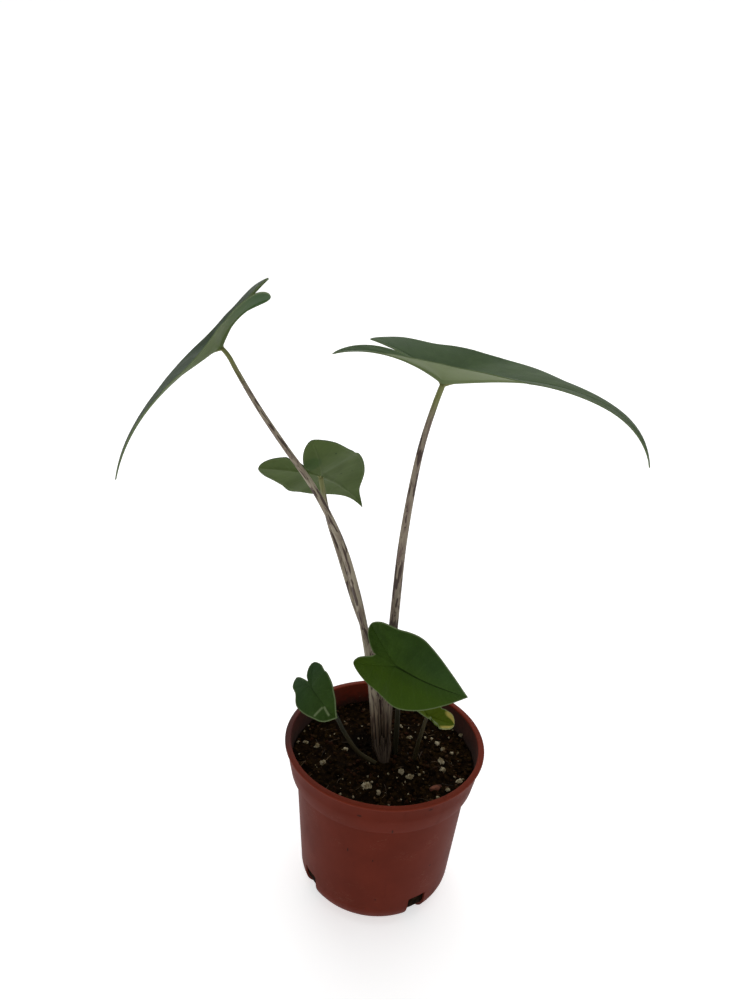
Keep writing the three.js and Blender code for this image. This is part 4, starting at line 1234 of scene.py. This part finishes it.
def model_pot(sizes):
    """A disc drawn up ring by ring into the wall, over the lip and down inside to the floor"""
    outside, inside = pot_profile()
    deselect()
    start = outside[0]
    bpy.ops.mesh.primitive_circle_add(vertices=sizes.pot_sides, radius=start[0] * MM,
                                      fill_type="NGON", location=(0, 0, start[1] * MM))
    pot = bpy.context.object
    pick(pot)
    bpy.ops.object.mode_set(mode="EDIT")
    bpy.ops.mesh.select_all(action="SELECT")
    bpy.ops.mesh.flip_normals()
    bpy.ops.mesh.select_mode(type="EDGE")
    bpy.ops.mesh.select_all(action="SELECT")
    bpy.ops.mesh.region_to_loop()
    radius, height = start
    for new_radius, new_height in outside[1:] + inside:
        bpy.ops.mesh.extrude_edges_move(
            TRANSFORM_OT_translate={"value": (0, 0, (new_height - height) * MM)})
        grow = new_radius / radius
        bpy.ops.transform.resize(value=(grow, grow, 1), center_override=(0, 0, 0))
        radius, height = new_radius, new_height
    bpy.ops.mesh.edge_face_add()
    bpy.ops.mesh.select_all(action="SELECT")
    bpy.ops.mesh.normals_make_consistent(inside=False)
    bpy.ops.object.mode_set(mode="OBJECT")
    bpy.ops.object.transform_apply(location=True, rotation=True, scale=True)
    tool = joined([notch_cutter(math.radians(SLOT_FIRST_ANGLE + i * 360 / SLOT_COUNT))
                   for i in range(SLOT_COUNT)], "notch_cutters")
    modify(pot, "BOOLEAN", operation="DIFFERENCE", solver="EXACT", object=tool)
    bpy.data.objects.remove(tool)
    smooth(pot, 32)
    return named(pot, "pot_shell")


def is_inside_face(polygon):
    """Faces of the pot that look inwards above the floor"""
    centre, way = polygon.center, polygon.normal
    flat = Vector((centre.x, centre.y, 0))
    inward = flat.length > 1e-6 and way.dot(flat.normalized()) < -0.3
    return inward and centre.z < (POT_HEIGHT - 1.2) * MM


def soil_height(x, y):
    """The soil's top as on its solid: a low mound with small bumps"""
    reach = np.hypot(x, y) / COLLAR_FOOT_RADIUS
    bumps = (np.sin(0.31 * x + 0.9) * np.cos(0.27 * y - 0.4)
             + 0.6 * np.sin(0.53 * x - 0.38 * y + 2) + 0.4 * np.cos(0.71 * y + 0.45 * x))
    return SOIL_LEVEL + SOIL_MOUND * np.maximum(0, 1 - reach ** 2) + SOIL_BUMP * bumps * 0.5


def rough(x, y, size, octaves):
    """Seeded roughness of the soil, about -1 to 1, with features of that size"""
    return np.array([noise.fractal(Vector((a / size, b / size, 3.1)), 0.7, 2.1, octaves)
                     for a, b in zip(x, y)])


def crumbled_height(x, y):
    """The soil's top with its crumbs and the hollow beside the stalks"""
    hollow = np.exp(-((x - HOLLOW[0]) ** 2 + (y - HOLLOW[1]) ** 2) / 40)
    return (soil_height(x, y) + 0.9 * rough(x, y, 6.0, 5) + 0.35 * rough(x + 50, y, 1.6, 3)
            - 2.5 * hollow)


def model_soil():
    """One closed body: the floor, the wall, and the crumbled top"""
    inset = WALL + SOIL_GAP
    slope = (COLLAR_BEND_RADIUS - COLLAR_FOOT_RADIUS) / (COLLAR_BEND - COLLAR_FOOT)
    edge = COLLAR_FOOT_RADIUS - inset + slope * (SOIL_LEVEL - 2 - COLLAR_FOOT)
    bottom = FLOOR + SOIL_GAP
    wall = [(0.0, bottom), *corner_arc(CORNER_RADIUS - inset, bottom, 6),
            (BODY_TOP_RADIUS - inset, COLLAR_FOOT - 1 + inset),
            (COLLAR_FOOT_RADIUS - inset, COLLAR_FOOT + inset)]
    profile = np.array(wall + [(edge * (1 - i / SOIL_RINGS), np.nan)
                               for i in range(SOIL_RINGS + 1)])
    columns = len(profile) - 1
    soil, across, around = grid(columns, SOIL_SIDES)
    radius, height = profile[np.rint(across * columns).astype(int)].T
    angle = around * TURN
    x, y = radius * np.cos(angle), radius * np.sin(angle)
    height = np.where(np.isnan(height), crumbled_height(x, y), height)
    set_corners(soil, np.column_stack([x, y, height]) * MM)
    merge(soil, 1e-5)
    edit(soil, lambda: bpy.ops.mesh.normals_make_consistent(inside=False))
    smooth(soil)
    return named(soil, "soil_mix")


def model_fibre(random):
    """One peat fibre that lies on the soil in a shallow arc"""
    x, y, _ = (float(part[0]) for part in on_soil(random, 1, 50.0))
    length = 2.0 + 7.0 * random.random()
    angle = random.random() * TURN
    curl = random.random() - 0.5
    run = np.linspace(-0.5, 0.5, 7)
    px = x + length * (run * math.cos(angle) - curl * run ** 2 * math.sin(angle))
    py = y + length * (run * math.sin(angle) + curl * run ** 2 * math.cos(angle))
    pz = soil_height(px, py) + 0.7 + 0.5 * np.cos(run * math.pi)
    radius = 0.1 + 0.14 * random.random()
    fibre, *_ = tube(np.column_stack([px, py, pz]), lambda a, s: radius, 5)
    keep_values(fibre, shade=random.random() ** 2)
    return fibre


def scattered(name, random, spots, sizes, flat=0.75):
    """Copies of one rough lump at each spot, each turned, squashed and shaded its own way"""
    deselect()
    bpy.ops.mesh.primitive_ico_sphere_add(subdivisions=2, radius=0.5)
    lump = bpy.context.object
    shape = corners(lump)
    faces = np.array([p.vertices[:] for p in lump.data.polygons])
    bpy.data.objects.remove(lump)
    points, rings, shades = [], [], []
    for i, (spot, size) in enumerate(zip(spots, sizes)):
        swell = 1 + 0.6 * (random.random(len(shape))[:, None] - 0.5)
        squash = np.array([1.0, 0.65 + 0.35 * random.random(),
                           flat * (0.7 + 0.5 * random.random())])
        turn = np.array(Matrix.Rotation(random.random() * TURN, 3, "Z")
                        @ Matrix.Rotation(random.random() - 0.5, 3, "X"))
        points.append((shape * swell * squash * size) @ turn.T + spot)
        rings.append(faces + i * len(shape))
        shades.append(np.full(len(shape), random.random()))
    mesh = bpy.data.meshes.new(name)
    mesh.from_pydata((np.vstack(points) * MM).tolist(), [], np.vstack(rings).tolist())
    piece = bpy.data.objects.new(name, mesh)
    bpy.context.scene.collection.objects.link(piece)
    keep_values(piece, shade=np.concatenate(shades))
    smooth(piece)
    return piece


def on_soil(random, count, limit=54.0):
    """Seeded spots spread evenly over the soil"""
    radius = limit * np.sqrt(random.random(count))
    angle = random.random(count) * TURN
    x, y = radius * np.cos(angle), radius * np.sin(angle)
    return x, y, crumbled_height(x, y)


def refined_copy(node, name, levels, roughness, size):
    """A finer and rougher copy of a CAD lump, where the lump lies"""
    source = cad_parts[node]
    piece = bpy.data.objects.new(name, source.data.copy())
    bpy.context.scene.collection.objects.link(piece)
    piece.data.name = name
    merge(piece, 1e-5)
    modify(piece, "SUBSURF", levels=levels, render_levels=levels)
    spots, ways = corners(piece), normals(piece)
    push = np.array([noise.fractal(Vector(spot) / (size * MM), 0.6, 2.2, 3) for spot in spots])
    set_corners(piece, spots + ways * (push * roughness * MM)[:, None])
    smooth(piece)
    return piece


# ---------------------------------------------------------------- settings

class ALOCASIA_PG_sizes(bpy.types.PropertyGroup):
    blade_thickness: FloatProperty(
        name="Blade thickness", description="Thickness of a leaf between its veins",
        default=0.0005, min=0.0002, max=0.0008, unit="LENGTH")
    rib_depth: FloatProperty(
        name="Rib depth", description="How far the midrib stands out under the blade at the joint",
        default=0.0011, min=0.0, max=0.002, unit="LENGTH")
    pot_sides: IntProperty(
        name="Pot sides", description="Faces round the pot", default=144, min=24, max=256)
    crumbs: IntProperty(
        name="Crumbs", description="Crumbs of potting mix on the soil", default=1500, min=1,
        max=3000)
    grit: IntProperty(
        name="Perlite grit", description="Fine grains of perlite", default=90, min=1, max=600)
    fibres: IntProperty(
        name="Fibres", description="Peat fibres on the soil", default=45, min=1, max=400)


def colour_property(label, text, default):
    return FloatVectorProperty(name=label, description=text, subtype="COLOR", size=3, min=0,
                               max=1, default=default)


class ALOCASIA_PG_colours(bpy.types.PropertyGroup):
    pot: colour_property("Pot", "Body of the pot", (0.128, 0.0165, 0.0065))
    # A lighter copy of the pot's colour: painted light on the lip's top
    pot_lip: colour_property("Pot lip", "Rolled lip of the pot", (0.155, 0.022, 0.009))
    soil_dark: colour_property("Wet soil", "Soil in its hollows", (0.0045, 0.0022, 0.0008))
    soil_light: colour_property("Dry soil", "Soil on its crumbs", (0.029, 0.0155, 0.0045))
    perlite: colour_property("Perlite", "Clean perlite", (0.5, 0.44, 0.3))
    leaf_green: colour_property("Leaf", "Upper face", (0.045, 0.09, 0.009))
    # Also the base of the painted shade on the upper face, at 0.3 of its brightness
    leaf_dark: colour_property("Leaf, dark", "Darker clouds of the upper face",
                               (0.033, 0.07, 0.009))
    # Bluish green, in part painted sheen
    leaf_blue: colour_property("Leaf, bluish", "Bluish bloom of a smaller leaf",
                               (0.038, 0.075, 0.032))
    # Painted sheen: a greyish haze laid over the upper face
    leaf_sheen: colour_property("Leaf bloom", "Waxy haze of a large leaf", (0.17, 0.21, 0.16))
    # Painted light on the lit half of a leaf
    leaf_warm: colour_property("Leaf, warm", "Yellower half of a leaf", (0.05, 0.092, 0.004))
    leaf_young: colour_property("Young leaf", "Blade of a young leaf", (0.075, 0.105, 0.004))
    leaf_yellow: colour_property("Yellow edge", "End of a lobe that turns yellow",
                                 (0.4, 0.33, 0.08))
    vein: colour_property("Veins", "Side veins above", (0.09, 0.14, 0.05))
    margin: colour_property("Margin", "Thin edge of a blade", (0.19, 0.235, 0.12))
    under_green: colour_property("Underside", "Lower face", (0.08, 0.115, 0.036))
    # Painted shade: a darker, greener underside
    under_shaded: colour_property("Underside, lush", "Greener lobe below", (0.03, 0.075, 0.018))
    # Also laid as a paler, greyer underside that is in part painted sheen
    under_vein: colour_property("Veins below", "Raised veins below", (0.165, 0.2, 0.1))
    stalk_cream: colour_property("Stalk", "Cream skin of a stalk", (0.4, 0.345, 0.25))
    stalk_mauve: colour_property("Stalk clouds", "Darker clouds of the skin", (0.17, 0.115, 0.095))
    stalk_mark: colour_property("Stalk marks", "Zebra marks", (0.045, 0.024, 0.02))
    stalk_olive: colour_property("Stalk top", "Skin under the blade", (0.21, 0.225, 0.075))
    stalk_young: colour_property("Young stalk", "Stalk of a small leaf", (0.06, 0.048, 0.02))


class ALOCASIA_PG_studio(bpy.types.PropertyGroup):
    floor: colour_property("Floor", "Paper under and behind the plant", (0.8, 0.8, 0.8))
    glow: FloatProperty(name="Paper glow", description="Light that comes through the paper",
                        default=0.62, min=0, max=2)
    ambient: FloatProperty(name="Room light", description="Even light from all round",
                           default=0.35, min=0, max=5)
    top_light: FloatProperty(name="Top light", description="Wide lamp above, in watts",
                             default=7.0, min=0, max=500)
    back_light: FloatProperty(name="Back light", description="Wide lamp behind, in watts",
                              default=4.0, min=0, max=500)


# ---------------------------------------------------------------- operators

def looks_of(name):
    """A leaf's looks, plain where it has none of its own"""
    return {**PLAIN_LOOKS, **LOOKS[name]}


class ALOCASIA_OT_pot(bpy.types.Operator):
    """Model the nursery pot with its lip, collar, walls and drainage notches"""
    bl_idname = "alocasia.pot"
    bl_label = "Pot"

    def execute(self, context):
        colours = context.scene.alocasia_colours
        pot = model_pot(context.scene.alocasia_sizes)
        finished(pot, "pot", ["pot"], pot_plastic(colours), pot_inside(colours))
        for polygon in pot.data.polygons:
            polygon.material_index = int(is_inside_face(polygon))
        return {"FINISHED"}


class ALOCASIA_OT_soil(bpy.types.Operator):
    """Model the potting mix, its crumbs and its fibres"""
    bl_idname = "alocasia.soil"
    bl_label = "Soil"

    def execute(self, context):
        sizes, colours = context.scene.alocasia_sizes, context.scene.alocasia_colours
        finished(model_soil(), "soil", ["soil"], potting_mix(colours))
        random = np.random.default_rng(21)
        x, y, z = on_soil(random, sizes.crumbs)
        size = 0.7 + 2.6 * random.random(sizes.crumbs) ** 3
        crumbs = scattered("soil_crumbs", random, np.column_stack([x, y, z + 0.1 * size]), size)
        finished(crumbs, "soil", [], crumb_mix(colours))
        fibres = joined([model_fibre(random) for _ in range(sizes.fibres)], "soil_fibres")
        merge(fibres)
        smooth(fibres)
        finished(fibres, "soil", [], fibre_skin())
        return {"FINISHED"}


class ALOCASIA_OT_perlite(bpy.types.Operator):
    """Model the perlite lumps and the finer grit, and the chip of bark"""
    bl_idname = "alocasia.perlite"
    bl_label = "Perlite and bark"

    def execute(self, context):
        sizes, colours = context.scene.alocasia_sizes, context.scene.alocasia_colours
        stone = perlite_stone(colours)
        for node in sorted(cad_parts):
            if node.startswith("perlite_"):
                lump = refined_copy(node, node + "_stone", 3, 0.75, 1.7)
                finished(lump, "perlite", [node], stone)
        random = np.random.default_rng(8)
        x, y, _ = on_soil(random, sizes.grit)
        size = 0.5 + 1.3 * random.random(sizes.grit) ** 2
        x, y, size = np.hstack([(x, y, size), np.transpose(GRAINS)])
        z = crumbled_height(x, y) + 0.25 * size
        grit = scattered("perlite_grit", random, np.column_stack([x, y, z]), size, 0.9)
        finished(grit, "perlite", [], stone)
        chip = refined_copy("bark_chip", "bark_chip_skin", 2, 0.5, 3.0)
        finished(chip, "bark", ["bark_chip"], bark_skin())
        return {"FINISHED"}


class ALOCASIA_OT_stalks(bpy.types.Operator):
    """Model the six stalks, striped and fluted at the foot"""
    bl_idname = "alocasia.stalks"
    bl_label = "Stalks"

    def execute(self, context):
        skin = stalk_skin(context.scene.alocasia_colours)
        for order, (name, leaf) in enumerate(LEAVES.items()):
            stalk = make_stalk(name + "_striped_stalk", leaf, looks_of(name), order)
            finished(stalk, "stalk", [name + "_stalk"], skin)
        finished(make_foot(), "stalk", [], skin)
        return {"FINISHED"}


class ALOCASIA_OT_blades(bpy.types.Operator):
    """Model the six arrow-shaped blades with their ribs"""
    bl_idname = "alocasia.blades"
    bl_label = "Blades"

    def execute(self, context):
        sizes, colours = context.scene.alocasia_sizes, context.scene.alocasia_colours
        upper, under = blade_upper(colours), blade_under(colours)
        for name, leaf in LEAVES.items():
            blade = make_blade(name + "_veined_blade", leaf, looks_of(name), sizes)
            finished(blade, "blade", [name + "_blade"], upper, under)
            lower = blade.data.attributes["is_lower"].data
            for polygon in blade.data.polygons:
                polygon.material_index = lower[polygon.index].value
        return {"FINISHED"}


class ALOCASIA_OT_stage(bpy.types.Operator):
    """Set up the paper, the lamps and the camera"""
    bl_idname = "alocasia.stage"
    bl_label = "Stage"

    def execute(self, context):
        studio = context.scene.alocasia_studio
        deselect()
        bpy.ops.mesh.primitive_plane_add(size=PAPER_SIDE, location=(0, 0, 0))
        paper = bpy.context.object
        mesh = paper.data
        for vertex in mesh.vertices:
            vertex.select = vertex.co.y > 0
        for edge in mesh.edges:
            edge.select = all(mesh.vertices[i].select for i in edge.vertices)
        for polygon in mesh.polygons:
            polygon.select = False
        bpy.ops.object.mode_set(mode="EDIT")
        bpy.ops.mesh.extrude_edges_move(TRANSFORM_OT_translate={"value": (0, 0, PAPER_RISE)})
        bpy.ops.object.mode_set(mode="OBJECT")
        modify(paper, "BEVEL", width=PAPER_BEND, segments=16, limit_method="ANGLE",
               angle_limit=math.radians(40))
        smooth(paper)
        named(paper, "paper_sweep")
        paper.data.materials.append(floor_paper(studio))

        world = bpy.data.worlds.new("room_light")
        world.use_nodes = True
        light = world.node_tree.nodes["Background"].inputs
        light["Color"].default_value = (1, 1, 1, 1)
        light["Strength"].default_value = studio.ambient
        context.scene.world = world
        for name, (place, size), power in (("top_lamp", TOP_LAMP, studio.top_light),
                                           ("back_lamp", BACK_LAMP, studio.back_light)):
            bpy.ops.object.light_add(type="AREA", location=place)
            lamp = context.object
            lamp.name = name
            lamp.data.shape = "DISK"
            lamp.data.size = size
            lamp.data.energy = power
            way = Vector(LAMP_TARGET) - Vector(place)
            lamp.rotation_euler = way.to_track_quat("-Z", "Y").to_euler()

        bpy.ops.object.camera_add(location=Vector(CAMERA_PLACE) * MM)
        camera = context.object
        camera.name = "plant_camera"
        camera.data.sensor_width = CAMERA_SENSOR
        camera.data.lens = CAMERA_LENS
        camera.data.clip_start = 0.01
        pitch, roll = math.radians(CAMERA_PITCH), math.radians(CAMERA_ROLL)
        way = Vector((0, math.cos(pitch), -math.sin(pitch)))
        right = Vector((1, 0, 0))
        up = right.cross(way)
        rolled_right = math.cos(roll) * right + math.sin(roll) * up
        rolled_up = -math.sin(roll) * right + math.cos(roll) * up
        turn = Matrix((rolled_right, rolled_up, -way)).transposed()
        camera.rotation_euler = turn.to_euler()
        context.scene.camera = camera
        context.scene.view_settings.view_transform = "Standard"
        return {"FINISHED"}


OPERATORS = (ALOCASIA_OT_stage, ALOCASIA_OT_pot, ALOCASIA_OT_soil, ALOCASIA_OT_perlite,
             ALOCASIA_OT_stalks, ALOCASIA_OT_blades)


class ALOCASIA_PT_panel(bpy.types.Panel):
    """Lists the plant's pieces in the sidebar"""
    bl_idname = "ALOCASIA_PT_panel"
    bl_label = "Zebrina alocasia"
    bl_space_type = "VIEW_3D"
    bl_region_type = "UI"
    bl_category = "Alocasia"

    def draw(self, context):
        for settings in (context.scene.alocasia_sizes, context.scene.alocasia_colours,
                         context.scene.alocasia_studio):
            box = self.layout.box()
            for name in settings.bl_rna.properties.keys():
                if name not in ("rna_type", "name"):
                    box.prop(settings, name)
        for operator in OPERATORS:
            self.layout.operator(operator.bl_idname)


SETTINGS = {"alocasia_sizes": ALOCASIA_PG_sizes, "alocasia_colours": ALOCASIA_PG_colours,
            "alocasia_studio": ALOCASIA_PG_studio}
CLASSES = (*SETTINGS.values(), *OPERATORS, ALOCASIA_PT_panel)


def register():
    for item in CLASSES:
        bpy.utils.register_class(item)
    for name, group in SETTINGS.items():
        setattr(bpy.types.Scene, name, PointerProperty(type=group))


def unregister():
    for name in SETTINGS:
        delattr(bpy.types.Scene, name)
    for item in reversed(CLASSES):
        bpy.utils.unregister_class(item)


def main():
    register()
    bpy.ops.alocasia.stage()
    bpy.ops.alocasia.pot()
    bpy.ops.alocasia.soil()
    bpy.ops.alocasia.perlite()
    bpy.ops.alocasia.stalks()
    bpy.ops.alocasia.blades()


if __name__ == "__main__":
    main()
